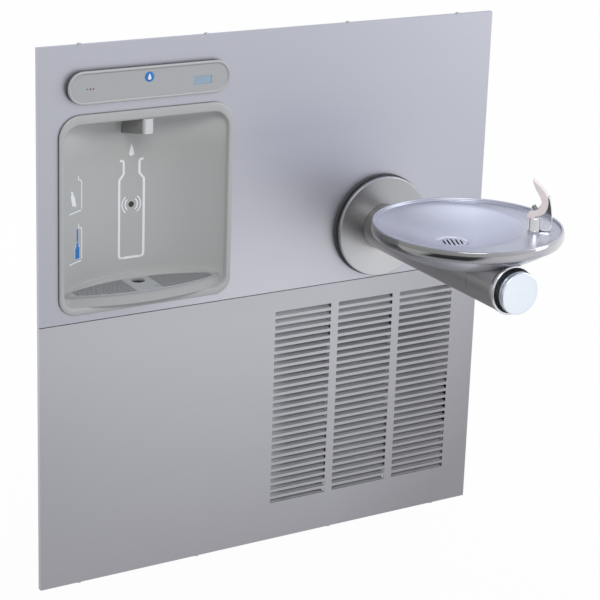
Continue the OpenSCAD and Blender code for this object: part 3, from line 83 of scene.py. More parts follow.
lens = bpy.data.cameras.new("camera")
lens.sensor_width = 36
lens.lens = 121.35
lens.shift_x, lens.shift_y = -0.05, -0.10
camera = bpy.data.objects.new("camera", lens)
bpy.context.scene.collection.objects.link(camera)
turn = Matrix((right, up, back)).transposed().to_4x4()
camera.matrix_world = Matrix.Translation(TARGET + back * DISTANCE) @ turn
bpy.context.scene.camera = camera
print("camera at", [round(v, 3) for v in camera.matrix_world.translation])

# %% [markdown]
# A station like this hangs with its basin rim about 914 mm above the floor, so the floor lies
# under the panels at that depth. The photograph has a white ground. Here it comes from the
# ground's and the world's own colour: the eye sees white, mirrors and glass see a share of it,
# and the rest sees pale paint.

# %% Stage
FLOOR_Z = -719

scene = bpy.context.scene
scene.view_settings.view_transform = "Standard"
world = bpy.data.worlds.new("studio")
scene.world = world
world.use_nodes = True


# %% [markdown]
# Finishes are written as shader maths. `Value` wraps one output of a node, so that sums written
# in Python become Math nodes. A mask is a Value from 0 to 1: `ramp` makes one that rises between
# two numbers, and `above` and `below` make sharp ones.

# %% Values of a shader
class Value:
    def __init__(self, tree, socket):
        self.tree, self.socket = tree, socket

    def math(self, operation, *others, flip=False):
        node = self.tree.nodes.new("ShaderNodeMath")
        node.operation = operation
        terms = [self, *others]
        for place, term in zip(node.inputs, reversed(terms) if flip else terms):
            plug(self.tree, place, term)
        return Value(self.tree, node.outputs[0])

    def __add__(self, other):
        return self.math("ADD", other)

    def __sub__(self, other):
        return self.math("SUBTRACT", other)

    def __rsub__(self, other):
        return self.math("SUBTRACT", other, flip=True)

    def __mul__(self, other):
        return self.math("MULTIPLY", other)

    def __truediv__(self, other):
        return self.math("DIVIDE", other)

    def __pow__(self, other):
        return self.math("POWER", other)

    def __abs__(self):
        return self.math("ABSOLUTE")

    def least(self, other):
        """The lesser of the two."""
        return self.math("MINIMUM", other)

    def most(self, other):
        """The greater of the two."""
        return self.math("MAXIMUM", other)

    def part(self):
        """What is left of a number after its whole part."""
        return self.math("FRACT")

    def above(self, edge):
        return self.math("GREATER_THAN", edge)

    def below(self, edge):
        return self.math("LESS_THAN", edge)

    def ramp(self, first, last):
        """Rises from 0 at the first number to 1 at the last, and stays there."""
        return ((self - first) / (last - first)).most(0).least(1)

    __radd__, __rmul__ = __add__, __mul__


def plug(tree, place, term):
    """Links a Value to an input, or writes a plain number or colour there."""
    if isinstance(term, Value):
        tree.links.new(term.socket, place)
    else:
        place.default_value = term


print("values ready")

# %% [markdown]
# `Graph` holds a tree of nodes, and its `node` method is the one way to add any other node: its
# type, its settings, and the values or links of its sockets. An input that shares its name with
# others is given by its number, as in i0. `Finish` is the graph of one material.

# %% Graphs and finishes
class Graph:
    def __init__(self, tree):
        self.tree = tree

    def node(self, kind, settings=None, out=0, **sockets):
        """Adds a node, and returns the Value of one of its outputs."""
        node = self.tree.nodes.new(kind)
        for name, value in (settings or {}).items():
            setattr(node, name, value)
        for name, term in sockets.items():
            counted = name[0] == "i" and name[1:].isdigit()
            key = int(name[1:]) if counted else name.replace("_", " ")
            plug(self.tree, node.inputs[key], term)
        return Value(self.tree, node.outputs[out])

    def between(self, factor, first, second):
        """A colour between two others, each of them a Value or three plain numbers."""
        first, second = (c if isinstance(c, Value) else (*c, 1) for c in (first, second))
        return self.node("ShaderNodeMix", {"data_type": "RGBA"}, out=2, i0=factor, i6=first,
                         i7=second)

    def rays(self):
        """1 where the eye looks, where a mirror does, and where glass does."""
        return [self.node("ShaderNodeLightPath", out=f"Is {kind} Ray")
                for kind in ("Camera", "Glossy", "Transmission")]


class Finish(Graph):
    def __init__(self, name, colour, roughness, metallic=0.0):
        self.material = bpy.data.materials.new(name)
        self.material.use_nodes = True
        super().__init__(self.material.node_tree)
        self.shader = self.tree.nodes["Principled BSDF"]
        self.set(Base_Color=(*colour, 1.0), Roughness=roughness, Metallic=metallic)
        self.place = self.node("ShaderNodeTexCoord", out="Object")
        self.x, self.y, self.z = (
            self.node("ShaderNodeSeparateXYZ", Vector=self.place, out=axis) for axis in "XYZ")

    def set(self, **sockets):
        for name, term in sockets.items():
            plug(self.tree, self.shader.inputs[name.replace("_", " ")], term)

    def grain(self, stretch, scale):
        """Noise from 0 to 1, drawn out along each axis by the numbers in stretch."""
        drawn = self.node("ShaderNodeMapping", Vector=self.place, Scale=stretch)
        return self.node("ShaderNodeTexNoise", Vector=drawn, Scale=scale, Detail=3.0,
                         Roughness=0.55)

    def bump(self, height, depth_mm, strength):
        self.set(Normal=self.node("ShaderNodeBump", Height=height, Distance=depth_mm * MM,
                                  Strength=strength))


def grey(level, tint=0.0):
    """A grey, with a positive tint toward blue or a negative one toward warm."""
    return (level * (1 - tint), level, level * (1 + tint))


def cloudy(colour, share):
    """A slightly darker and a slightly paler version of a colour."""
    return [tuple(min(1, c * k) for c in colour) for k in (1 - share, 1 + share)]


print("finishes ready")

# %% [markdown]
# A pale bluish world lights the station, most from above and a little more from the right, as
# tall studio windows would. The eye sees it white, and mirrors and glass see it about half way
# to white.

# %% The studio's world
LEVEL, FROM_ABOVE, FROM_RIGHT = 0.60, 0.42, 0.16
MIRROR_SHARE = 0.45
SKY_BLUE = (0.70, 0.78, 1.0)
BLUE, BLUE_ABOVE, BLUE_RIGHT = 0.06, 0.8, 0.15

studio = Graph(world.node_tree)
way = studio.node("ShaderNodeTexCoord", out="Generated")
side, height = (studio.node("ShaderNodeSeparateXYZ", Vector=way, out=axis) for axis in "XZ")
above = height.most(0)
soft = LEVEL + FROM_ABOVE * above + FROM_RIGHT * side
eye, mirror, glass = studio.rays()
seen = (eye + (mirror + glass) * MIRROR_SHARE).least(1)
blue = (BLUE + BLUE_ABOVE * above + BLUE_RIGHT * side) * (1 - seen)
sky = studio.tree.nodes["Background"]
plug(studio.tree, sky.inputs["Strength"], soft + seen * (1 - soft))
plug(studio.tree, sky.inputs["Color"], studio.between(blue, (1, 1, 1), SKY_BLUE))
print("world:", len(studio.tree.nodes), "nodes")

# %% [markdown]
# Three large soft lamps shape the forms: a key lamp high in front, one on the right that draws a
# bright line on the round pieces, and one behind for the views from the back. They are weak,
# because the world gives most of the light.

# %% Lamps
def lamp(name, place, aim, size, power, colour=(1, 1, 1)):
    """A soft rectangular lamp, all in millimetres but its power."""
    light = bpy.data.lights.new(name, "AREA")
    light.shape = "RECTANGLE"
    light.size, light.size_y = (s * MM for s in size)
    light.energy = power
    light.color = colour
    body = bpy.data.objects.new(name, light)
    scene.collection.objects.link(body)
    body.location = mm(*place)
    body.rotation_euler = (mm(*aim) - mm(*place)).to_track_quat("-Z", "Y").to_euler()


lamp("key", (-900, -2600, 2300), (0, 0, 0), (1600, 1200), 30)
lamp("right", (2300, -1500, 900), (200, 0, 0), (900, 1800), 11, (0.93, 0.96, 1.0))
lamp("rear", (-900, 2600, 1600), (0, 0, 0), (1600, 1200), 16)

# %% [markdown]
# The ground is one wide face. The eye sees it white, but for a small share of paint that keeps
# the station's shadow. Close to the station, and in two sectors to its left and its right, it is
# darker for everything but the eye, as if black cards lay there, so that the polished rim has
# something dark to mirror. Distances are in metres, and a sector is set by the cosine of the
# angle to its middle.

# %% The ground
REACH = 9000
NEAR, FAR = 0.2, 2.8
NEAR_TONE, LEFT_CARD, RIGHT_CARD = 0.52, 0.97, 0.35
WHITE_SHARE = 0.97

mesh = bpy.data.meshes.new("ground")
corners = [(-REACH, -REACH), (REACH, -REACH), (REACH, REACH), (-REACH, REACH)]
mesh.from_pydata([mm(x, y, FLOOR_Z) for x, y in corners], [], [(0, 1, 2, 3)])
ground = bpy.data.objects.new("ground", mesh)
scene.collection.objects.link(ground)
paint = Finish("ground_paint", grey(0.8), 0.9)
away = (paint.x * paint.x + paint.y * paint.y) ** 0.5


def sector(x, y, first, last):
    """A mask that rises toward one direction on the ground."""
    return ((paint.x * x + paint.y * y) / away).ramp(first, last)


left = sector(-0.66, -0.75, 0.756, 0.896) * away.ramp(0.6, 1.2)
right_hand = sector(0.84, -0.54, 0.92, 1.02)
tone = away.ramp(NEAR, FAR) * (1 - NEAR_TONE) + NEAR_TONE
pale = tone * (1 - LEFT_CARD * left) * (1 - RIGHT_CARD * right_hand)
paint.set(Base_Color=paint.between(pale, (0, 0, 0), grey(0.95)))
eye, mirror, glass = paint.rays()
mixed = paint.node("ShaderNodeMixShader",
                   i0=(eye + (mirror + glass) * pale).least(1) * WHITE_SHARE,
                   i1=Value(paint.tree, paint.shader.outputs[0]),
                   i2=paint.node("ShaderNodeEmission", Color=(1, 1, 1, 1), Strength=1.0))
plug(paint.tree, paint.tree.nodes["Material Output"].inputs[0], mixed)
ground.data.materials.append(paint.material)
print("ground at", FLOOR_Z, "mm")

# %% [markdown]
# Brushed steel is bare metal whose roughness and height vary in fine long scratches. The panels
# are brushed across their width, so their noise is drawn out along X and a faint cloudiness is
# added. A steel keeps its colour as `tone`, so that another colour can be laid over it where a
# mask is high. The numbers in a mask's ramp are metres.

# %% Brushed steel
SCRATCH_MM, CLOUD = 0.012, 0.04


def brushed(name, colour, roughness, stretch, spread=0.10):
    """Bare steel with its scratches drawn out along the axis whose stretch is small."""
    steel = Finish(name, colour, roughness, 1.0)
    fine = steel.grain(stretch, 900.0)
    broad = steel.grain(tuple(s ** 0.5 for s in stretch), 30.0)
    steel.set(Roughness=roughness - spread / 2 + fine * spread + broad * 0.05)
    steel.tone = steel.between(fine * 0.6 + broad * 0.4, *cloudy(colour, CLOUD))
    steel.set(Base_Color=steel.tone)
    steel.bump(fine, SCRATCH_MM, 0.5)
    return steel


def toned(steel, share, colour):
    """Moves a steel's colour toward another one where the share is high."""
    steel.tone = steel.between(share, steel.tone, colour)
    steel.set(Base_Color=steel.tone)


print("scratches", SCRATCH_MM, "mm deep")

# %% [markdown]
# The upper panel is given painted light low in its middle, and the lower one painted shade toward
# its foot and its right end. The blades behind the lower panel's slots lie in shade and show
# little metal, so there the steel becomes a nearly plain grey. Masks lay all of it over one
# brushed steel, which is simpler than cutting the panels into pieces with finishes of their own.

# %% The panels' steel
BRUSHED_ALONG_X = (0.01, 1, 1)
PALE_TOP, PALE_FOOT, PALE_LEFT, PALE_RIGHT = 0.32, 0.07, -0.3, 0.45
SHADE_TOP, SHADE_LEFT = -0.07, 0.15
BLADE_Y, FIRST_SLOT_X, LAST_SLOT_X = -8.4, 5, 425

panel_steel = brushed("panel_steel", (0.525, 0.53, 0.585), 0.42, BRUSHED_ALONG_X)
# Painted light: the upper panel is paler low in its middle.
painted_light_patch = panel_steel.z.ramp(PALE_TOP, PALE_FOOT) * panel_steel.x.ramp(PALE_LEFT, 0)
toned(panel_steel, painted_light_patch * (PALE_RIGHT - panel_steel.x) * 2.5, (0.65, 0.65, 0.70))
lower_steel = brushed("lower_steel", (0.56, 0.555, 0.59), 0.42, BRUSHED_ALONG_X)
# Painted shade: the lower panel is darker toward its foot and its right end.
painted_shade = (lower_steel.z * -1.3 + SHADE_TOP).most(0) + ((lower_steel.x - SHADE_LEFT) * 1.7).most(0)
toned(lower_steel, painted_shade.least(1), (0.37, 0.365, 0.38))
blade = (lower_steel.y.above(BLADE_Y * MM) * lower_steel.x.above(FIRST_SLOT_X * MM)
         * lower_steel.x.below(LAST_SLOT_X * MM))
toned(lower_steel, blade, grey(0.56))
lower_steel.set(Metallic=1 - blade * 0.75)
print("panels:", panel_steel.material.name, lower_steel.material.name)

# %% [markdown]
# The bowl's inside is polished round and round. A painted highlight, pale and bluish, shifts its
# tone from one side to the other and from front to back, and painted shade greys it toward the
# deck. Masks do this, measured from the bowl's middle along two axes turned by 32 degrees. The
# rolled rim is brighter polished, and a painted highlight makes it paler toward the right. The
# arm's tube, the plate round it, the frame and the zinc of the small parts are plainer kinds of
# steel.

# %% The basin's steel and the rest
BOWL_X, BOWL_Y, BOWL_EDGE, EDGE_BLEND, DECK_LOW = 0.223, -0.282, 0.130, 0.014, 0.17
COS_32, SIN_32 = 0.85, 0.527

tube_steel = brushed("tube_steel", grey(0.46, -0.02), 0.34, (1, 0.02, 1))
bowl_steel = brushed("bowl_steel", (0.48, 0.48, 0.52), 0.30, (0.02, 1, 1))
u, v = bowl_steel.x - BOWL_X, bowl_steel.y - BOWL_Y
# Painted highlight: pale and bluish toward the bowl's right and back.
across = (u * COS_32 - v * SIN_32).ramp(-0.098, 0.042)
behind = (u * SIN_32 + v * COS_32).ramp(-0.06, 0.04)
toned(bowl_steel, across * (behind * 0.6 + 0.4), (0.90, 0.92, 1.0))
# Painted shade: the bowl greys toward the deck.
painted_deck_shade = ((u * u + v * v) ** 0.5).ramp(BOWL_EDGE, BOWL_EDGE + EDGE_BLEND)
toned(bowl_steel, painted_deck_shade * bowl_steel.z.above(DECK_LOW), (0.52, 0.53, 0.60))
rim_steel = brushed("rim_steel", grey(0.28), 0.10, (1, 1, 0.1), 0.05)
# Painted highlight: the rim grows paler toward the right.
toned(rim_steel, rim_steel.x.ramp(0.10, 0.36), (0.68, 0.67, 0.71))
plate_steel = brushed("plate_steel", grey(0.56, -0.02), 0.30, (1, 1, 1), 0.08)
frame_steel = brushed("frame_steel", grey(0.50), 0.5, (1, 1, 1), 0.16)
zinc = brushed("zinc_steel", grey(0.62), 0.36, (1, 1, 0.2))
print("steels:", [m.name for m in bpy.data.materials])

# %% [markdown]
# Chrome is smooth and nearly colourless; it shows the studio, so only a faint unevenness is
# added. Brass and copper are coloured metals, dulled here and there by handling. One helper
# makes them all, because they differ only in colour and gloss.

# %% Other metals
def metal(name, colour, roughness, spread=0.06):
    """A plain metal with a slow change of gloss."""
    bare = Finish(name, colour, roughness, 1.0)
    patch = bare.grain((1, 1, 1), 60.0)
    bare.set(Roughness=roughness + patch * spread)
    bare.set(Base_Color=bare.between(patch, tuple(c * 0.93 for c in colour), colour))
    return bare


chrome = metal("chrome", grey(0.80), 0.07, 0.05)
# The cap's blue tint is a painted reflection of the bluish sky.
cap_chrome = metal("cap_chrome", (0.87, 0.93, 1.0), 0.16, 0.04)
dark_chrome = metal("dark_chrome", grey(0.42, 0.02), 0.12)
brass = metal("brass", (0.70, 0.52, 0.24), 0.28, 0.12)
copper = metal("copper", (0.72, 0.40, 0.24), 0.30, 0.14)
aluminium = metal("fin_aluminium", grey(0.55), 0.42, 0.12)
metals = (chrome, cap_chrome, dark_chrome, brass, copper, aluminium)
print("metals:", [m.material.name for m in metals])

# %% [markdown]
# Moulded plastic has a fine spark-eroded skin: a small even bump, with a colour that hardly
# changes. The grain is far too fine for geometry, so it is noise that feeds a Bump node. The
# niche's ceiling and tray are given painted light, a paler grey than its frame, and the spout's
# nose a painted highlight, paler than its sides; masks by place give both.

# %% Moulded plastic
NICHE_GREY, COWL_GREY = (0.50, 0.50, 0.475), (0.30, 0.30, 0.28)
NICHE_FRONT_Y, NICHE_TOP = -4, 0.385


def moulded(name, colour, roughness, depth=0.02, scale=1400.0):
    """Moulded plastic or rubber with a fine skin."""
    skin = Finish(name, colour, roughness)
    pore = skin.grain((1, 1, 1), scale)
    patch = skin.grain((1, 1, 1), 18.0)
    skin.set(Roughness=roughness - 0.04 + pore * 0.08)
    skin.set(Base_Color=skin.between(patch, *cloudy(colour, 0.03)))
    skin.bump(pore, depth, 0.4)
    return skin


grey_plastic = moulded("grey_plastic", NICHE_GREY, 0.42)
# Painted light: the niche's ceiling, and less so its tray, are paler than the frame.
inside = grey_plastic.y.above(NICHE_FRONT_Y * MM)
painted_ceiling_light, painted_tray_light = grey_plastic.z.ramp(0.30, 0.35), grey_plastic.z.ramp(0.075, 0.060)
pale = inside * painted_ceiling_light.most(painted_tray_light * 0.3) * grey_plastic.z.below(NICHE_TOP)
grey_plastic.set(Base_Color=grey_plastic.between(pale, NICHE_GREY, (0.61, 0.61, 0.585)))
dark_plastic = moulded("dark_plastic", COWL_GREY, 0.24)
# Painted highlight: the spout's nose is paler than its sides.
nose_highlight = dark_plastic.y.ramp(-0.008, -0.016)
dark_plastic.set(Base_Color=dark_plastic.between(nose_highlight, COWL_GREY, (0.70, 0.70, 0.68)))
print("niche and cowl:", grey_plastic.material.name, dark_plastic.material.name)

# %% [markdown]
# The grille's two fields have fine dimples between their through holes. They are too small and too
# many for geometry, so each is a dark round dot in a square cell, painted shade for its hollow:
# the cell's number is cut off by `part`, and what is left tells how far a place is from the cell's
# middle. Lengths here are metres; the phases and the dot's radius are shares of a cell.

# %% The grille's dimples
GRILLE_X, GRILLE_TOP = -0.268, 0.0558
FIELD_NEAR, FIELD_FAR = 0.026, 0.14
PITCH, PHASE_X, PHASE_Y, DOT_R = 0.0045, -7.94, 3.61, 0.4
GRILLE_GREY = (0.42, 0.425, 0.42)

grille_plastic = moulded("grille_plastic", GRILLE_GREY, 0.28)
beside = abs(grille_plastic.x - GRILLE_X)
cell_x = (beside / PITCH + PHASE_X).part() - 0.5
cell_y = (grille_plastic.y / PITCH + PHASE_Y).part() - 0.5
# Each dot is painted shade for a dimple's hollow.
dimple_shade = (cell_x * cell_x + cell_y * cell_y).below(DOT_R ** 2)
field = (beside.above(FIELD_NEAR) * beside.below(FIELD_FAR)
         * grille_plastic.z.above(GRILLE_TOP))
grille_plastic.set(Base_Color=grille_plastic.between(dimple_shade * field, GRILLE_GREY, grey(0.03)))
print("dimples every", PITCH / MM, "mm")

# %% [markdown]
# The rest are plain plastics, rubbers, foam and inks, each with its own grey and gloss. Most are
# behind the panels. The two status lamps share one finish, split between them by its X.

# %% Plain plastics, rubbers and inks
TEAL, REDDISH, LAMP_SPLIT_X = (0.05, 0.30, 0.27), (0.24, 0.09, 0.09), -388.5

face_plastic = moulded("face_plastic", (0.455, 0.455, 0.445), 0.35)
# shadow_edge is no plastic but painted shade, for the dark line where a moulding meets the panel.
shadow_edge = moulded("shadow_edge", grey(0.09), 0.6)
white_plastic = moulded("white_plastic", grey(0.72), 0.35)
pipe_plastic = moulded("pipe_plastic", grey(0.16), 0.45)
black_plastic = moulded("black_plastic", grey(0.03), 0.45)
blue_plastic = moulded("blue_plastic", (0.04, 0.16, 0.42), 0.35)
board_green = moulded("board_green", (0.02, 0.12, 0.05), 0.35)
foam = moulded("foam_plastic", (0.66, 0.63, 0.55), 0.7, 0.2, 300.0)
black_paint = moulded("black_paint", grey(0.025), 0.30)
dark_rubber = moulded("dark_rubber", grey(0.05), 0.6)
guard_rubber = moulded("guard_rubber", (0.90, 0.79, 0.75), 0.5)
lens_black = moulded("lens_black", grey(0.015), 0.08, 0.004)
lcd_blue = moulded("lcd_blue", (0.32, 0.44, 0.53), 0.12, 0.004)
print_white = moulded("print_white", grey(0.95), 0.4, 0.004)
print_blue = moulded("print_blue", (0.02, 0.20, 0.55), 0.4, 0.004)
lamps = moulded("lamps", TEAL, 0.2, 0.004)
lamps.set(Base_Color=lamps.between(lamps.x.above(LAMP_SPLIT_X * MM), TEAL, REDDISH))
print("finishes in all:", len(bpy.data.materials))

# %% [markdown]
# Every node of the CAD model gets a finish, those behind the panels too, because the station is
# also seen from behind. One table of finishes and names is easy to read and to check.

# %% Give every CAD node its finish
DRESS = {
    panel_steel: "upper_panel",
    lower_steel: "lower_panel",
    tube_steel: "arm_tube arm_sleeve escutcheon",
    bowl_steel: "basin basin_shroud strainer drain_body",
    frame_steel: "wall_frame cross_rails arm_carrier arm_flange chiller_base fan_shroud",
    zinc: "panel_screws liner_nuts arm_bolts button_spring",
    chrome: "button_collar push_button bubbler_body spout_nozzle",
    dark_chrome: "bubbler_nozzle",
    brass: "button_stem push_valve bubbler_nut stop_valve",
    copper: "supply_tube refrigerant_tubes",
    aluminium: "condenser",
    grey_plastic: "alcove_liner drip_basin display_bezel",
    dark_plastic: "spout_cowl",
    grille_plastic: "drip_grille",
    face_plastic: "display_face",
    white_plastic: "filler_tube solenoid_valve water_lines filter_cartridge",
    pipe_plastic: "tray_drain_tube waste_tube waste_trap",
    black_plastic: "sensor_housing solenoid_coil fan_blades power_box",
    blue_plastic: "filter_head stop_valve_handle",
    board_green: "control_board",
    foam: "cooling_tank",
    black_paint: "compressor fan_motor",
    dark_rubber: "escutcheon_ring compressor_feet",
    guard_rubber: "bubbler_guard",
    lens_black: "sensor_lens",
    lcd_blue: "lcd_window",
    lamps: "status_leds",
}
dressed = set()
for finish, names in DRESS.items():
    for name in names.split():
        nodes[name].data.materials.clear()
        nodes[name].data.materials.append(finish.material)
        dressed.add(name)
print("undressed:", sorted(set(nodes) - dressed))

# %% [markdown]
# The fine pieces are drawn as meshes. Most are rings of points joined by faces, which is how a
# spun, pressed or turned shape is described. Each is given its finish, the body it rides on, and
# the CAD nodes it stands for.

# %% Building helpers
def mesh_piece(name, points, faces, finish, body="unit", stands_for=()):
    """A smooth mesh from points in millimetres."""
    mesh = bpy.data.meshes.new(name)
    mesh.from_pydata([mm(*p) for p in points], [], faces)
    mesh.materials.append(finish.material)
    form = bmesh.new()
    form.from_mesh(mesh)
    bmesh.ops.remove_doubles(form, verts=form.verts, dist=1e-6)
    bmesh.ops.recalc_face_normals(form, faces=form.faces)
    form.to_mesh(mesh)
    form.free()
    mesh.shade_smooth()
    piece = bpy.data.objects.new(name, mesh)
    scene.collection.objects.link(piece)
    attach(piece, body)
    if stands_for:
        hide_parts(*stands_for)
    return piece


def ring_skin(rings):
    """Points and faces that join closed rings of equally many points."""
    count = len(rings[0])
    points = [p for ring in rings for p in ring]
    faces = []
    for j in range(len(rings) - 1):
        for i in range(count):
            a, b = j * count + i, j * count + (i + 1) % count
            faces.append((a, b, b + count, a + count))
    return points, faces


def turned(profile, centre, along="y", count=96):
    """Rings of a turned form: the profile lists (radius, place along the axis)."""
    rings = []
    for r, t in profile:
        ring = []
        for i in range(count):
            a = 2 * math.pi * i / count
            u, v = r * math.cos(a), r * math.sin(a)
            ring.append((centre[0] + u, t, centre[1] + v) if along == "y"
                        else (centre[0] + u, centre[1] + v, t))
        rings.append(ring)
    return ring_skin(rings)


def arc(centre, radius, first, last, steps=8):
    """Points of an arc in degrees, in a plane."""
    turns = [math.radians(first + (last - first) * i / steps) for i in range(steps + 1)]
    return [(centre[0] + radius * math.cos(a), centre[1] + radius * math.sin(a)) for a in turns]


def size_of(node):
    """Lowest and highest corner of a CAD node, in millimetres."""
    low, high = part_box(node)
    return low / MM, high / MM


def middle_of(node, across="xy"):
    """Middle of a CAD node across two axes, and half its width."""
    low, high = size_of(node)
    return tuple((getattr(low, a) + getattr(high, a)) / 2 for a in across), (high.x - low.x) / 2


def slide(first, last, share):
    """Points part of the way from one flat ring to another."""
    return [(p[0] + (q[0] - p[0]) * share, p[1] + (q[1] - p[1]) * share)
            for p, q in zip(first, last)]


print("helpers ready")

# %% [markdown]
# The basin is pressed from one sheet: a shallow dish, set off-centre, runs softly into a flat
# deck. Its places and widths are read from the CAD nodes, and its height is one formula, so that
# every point of the rings lies on the same sheet.

# %% The basin's sheet
ROLL = 1.5
RIM, half_width = middle_of("basin")
RIM_R = half_width - ROLL
DISH, DRAIN_R = middle_of("strainer")
CREST_Z = size_of("basin")[1].z
DECK_Z, DISH_FLOOR, DISH_R, SOFT = CREST_Z - 6, CREST_Z - 42, 286, 5


def basin_height(x, y):
    """The sheet's height: the lower of deck and dish, with a soft change between them."""
    away = math.hypot(x - DISH[0], y - DISH[1])
    dish = DISH_FLOOR + DISH_R - math.sqrt(max(DISH_R ** 2 - away ** 2, 1))
    blend = max(SOFT - abs(dish - DECK_Z), 0) / SOFT
    return min(dish, DECK_Z) - blend ** 2 * SOFT / 4


print("crest", round(CREST_Z, 1), "rim radius", round(RIM_R, 1), "drain radius", round(DRAIN_R, 1))

# %% [markdown]
# The edge is rolled into a polished rim. The rings start in a small groove at the drain, turn
# into the dish's edge circle, slide across the deck to the rim's circle, and follow the rolled
# edge down and back in.

# %% The basin
DRAIN_GAP, GROOVE, EDGE_WIDTH, POLISHED = 0.9, 2, 6, 3.5


def circle(middle, radius, count=160):
    """Points of a circle seen from above."""
    turns = [2 * math.pi * i / count for i in range(count)]
    return [(middle[0] + radius * math.cos(a), middle[1] + radius * math.sin(a)) for a in turns]


dish_edge = math.sqrt(DISH_R ** 2 - (DISH_R - DECK_Z + DISH_FLOOR) ** 2)
flat = [circle(DISH, max(dish_edge * share, DRAIN_R + DRAIN_GAP))
        for share in (0.19, 0.25, 0.35, 0.47, 0.6, 0.72, 0.82, 0.9, 0.95, 1.0)]
inner, outer = flat[-1], circle(RIM, RIM_R - EDGE_WIDTH)
flat += [slide(inner, outer, share) for share in (0.08, 0.2, 0.4, 0.6, 0.8, 1.0)]
rings = [[(x, y, basin_height(x, y)) for x, y in ring] for ring in flat]
rings.insert(0, [(x, y, z - GROOVE) for x, y, z in rings[0]])
edge = [(RIM_R - 5.2, -5.2), *arc((RIM_R - 2.6, -2.6), 2.6, 180, 10, 10),
        (RIM_R + 0.9, -6.5), (RIM_R + 1.4, -11), (RIM_R + 0.9, -15), (RIM_R - 0.6, -18.5),
        (RIM_R - 2.0, -21), (RIM_R - 3.2, -21.4), (RIM_R - 3.6, -20), (RIM_R - 2.6, -16)]
rings += [[(x, y, CREST_Z + drop) for x, y in circle(RIM, r)] for r, drop in edge]
points, faces = ring_skin(rings)
basin = mesh_piece("basin_sheet", points, faces, bowl_steel, stands_for=("basin",))
basin.data.materials.append(rim_steel.material)
for face in basin.data.polygons:
    away = (face.center / MM - Vector((*RIM, 0))).to_2d().length
    if away > RIM_R - POLISHED:
        face.material_index = 1
print("basin:", len(faces), "faces")

# %% [markdown]
# The deck carries a low round pad under the bubbler, in the same steel. It could be a bulge in
# the basin's rings, but a turned piece set into the deck leaves those even.

# %% The bubbler's pad
POST = (333, -380)
PAD = (POST[0] + 9, POST[1] - 7)
pad = [(0.5, DECK_Z + 2.4), (16, DECK_Z + 2.4), (19, DECK_Z + 2.2), (21.5, DECK_Z + 1.6),
       (24, DECK_Z + 0.6), (26, DECK_Z - 0.2)]
points, faces = turned(pad, PAD, "z", 64)
mesh_piece("bubbler_pad", points, faces, bowl_steel)
print("pad at", PAD, "post at", POST)

# %% [markdown]
# The bubbler is a chrome casting with a flexible mouth guard moulded over its front, on a short
# round stem. Tower and guard are drawn by their side outlines, given their width, rounded along
# the edges, and then smoothed all over, because a casting and a moulding have no sharp corner
# anywhere.

# %% Forms from a side outline
STREAM_DEG, VOXEL = 139.5, 0.5


def side_form(name, outline, half, finish, stands_for, round_mm):
    """A form from its side outline (along the stream, up), rounded and smoothed."""
    turn = Matrix.Rotation(math.radians(STREAM_DEG), 4, "Z")
    place = Matrix.Translation(Vector((*POST, DECK_Z)))
    count = len(outline)
    points = [place @ turn @ Vector((x, side * half, z)) for side in (-1, 1) for x, z in outline]
    faces = [tuple(range(count)), tuple(reversed(range(count, 2 * count)))]
    faces += [(i, count + i, count + (i + 1) % count, (i + 1) % count) for i in range(count)]
    piece = mesh_piece(name, points, faces, finish, stands_for=stands_for)
    bevel = piece.modifiers.new("rounding", "BEVEL")
    bevel.width, bevel.segments, bevel.limit_method = round_mm * MM, 4, "ANGLE"
    bevel.angle_limit = math.radians(50)
    mesh = piece.modifiers.new("even", "REMESH")
    mesh.mode, mesh.voxel_size, mesh.use_smooth_shade = "VOXEL", VOXEL * MM, True
    soft = piece.modifiers.new("soft", "SMOOTH")
    soft.factor, soft.iterations = 0.6, 18


def softened(corners, steps=5):
    """A closed outline with its corners rounded, through points between the corners."""
    out, count = [], len(corners)
    for i in range(count):
        a, b, c = corners[i - 1], corners[i], corners[(i + 1) % count]
        p = [(a[k] + 2 * b[k]) / 3 for k in (0, 1)]
        q = [(c[k] + 2 * b[k]) / 3 for k in (0, 1)]
        for j in range(steps + 1):
            t = j / steps
            out.append(tuple((1 - t) ** 2 * p[k] + 2 * t * (1 - t) * b[k] + t * t * q[k]
                             for k in (0, 1)))
    return out


print("the stream runs at", STREAM_DEG, "degrees")

# %% [markdown]
# In the outlines the first number runs along the stream, from back to front, and the second up
# from the deck. The guard's back follows the tower's front, so that the two meet along one line
# and neither shows through the other.

# %% The bubbler
TOWER = [(-31, 3), (-9, 3), (-8, 24), (-1, 28), (-7, 31.5), (-17, 37.5), (-21, 47), (-22, 57),
         (-21, 66), (-24, 68), (-28, 52), (-31, 30)]
GUARD = [(13, 25), (16.5, 28), (9.4, 37), (-3.5, 41.5), (-9, 48), (-10.6, 58), (-6, 68),
         (2.4, 81.5), (10, 99), (-3.5, 89), (-14, 78), (-20, 68), (-22.5, 57), (-21.5, 47),
         (-17, 37), (-7, 31), (4.7, 26)]
stem = [(13, DECK_Z + 2), (12.4, DECK_Z + 3), (12.4, DECK_Z + 24), (11.4, DECK_Z + 26.5),
        (8, DECK_Z + 28), (0.5, DECK_Z + 28.2)]
points, faces = turned(stem, POST, "z", 64)
mesh_piece("bubbler_stem", points, faces, chrome)
side_form("bubbler_tower", softened(TOWER), 9.5, chrome, ("bubbler_body",), 5)
side_form("mouth_guard", softened(GUARD), 9.4, guard_rubber,
          ("bubbler_guard",), 3)
print("bubbler drawn")

# %% [markdown]
# The round escutcheon is spun from sheet: a flat face that dips a little to the arm and turns over
# a rounded edge. Its grain runs round, and a painted reflection in sectors is laid on its colour:
# one sector of painted shade is dark, and the lower half has painted light and is a little paler.

# %% The escutcheon
PLATE_LEVEL, PAINTED_PALE, PAINTED_DARK, DIAGONAL = 0.47, 0.15, 0.20, 0.707
PLATE_DEEP = 12.8

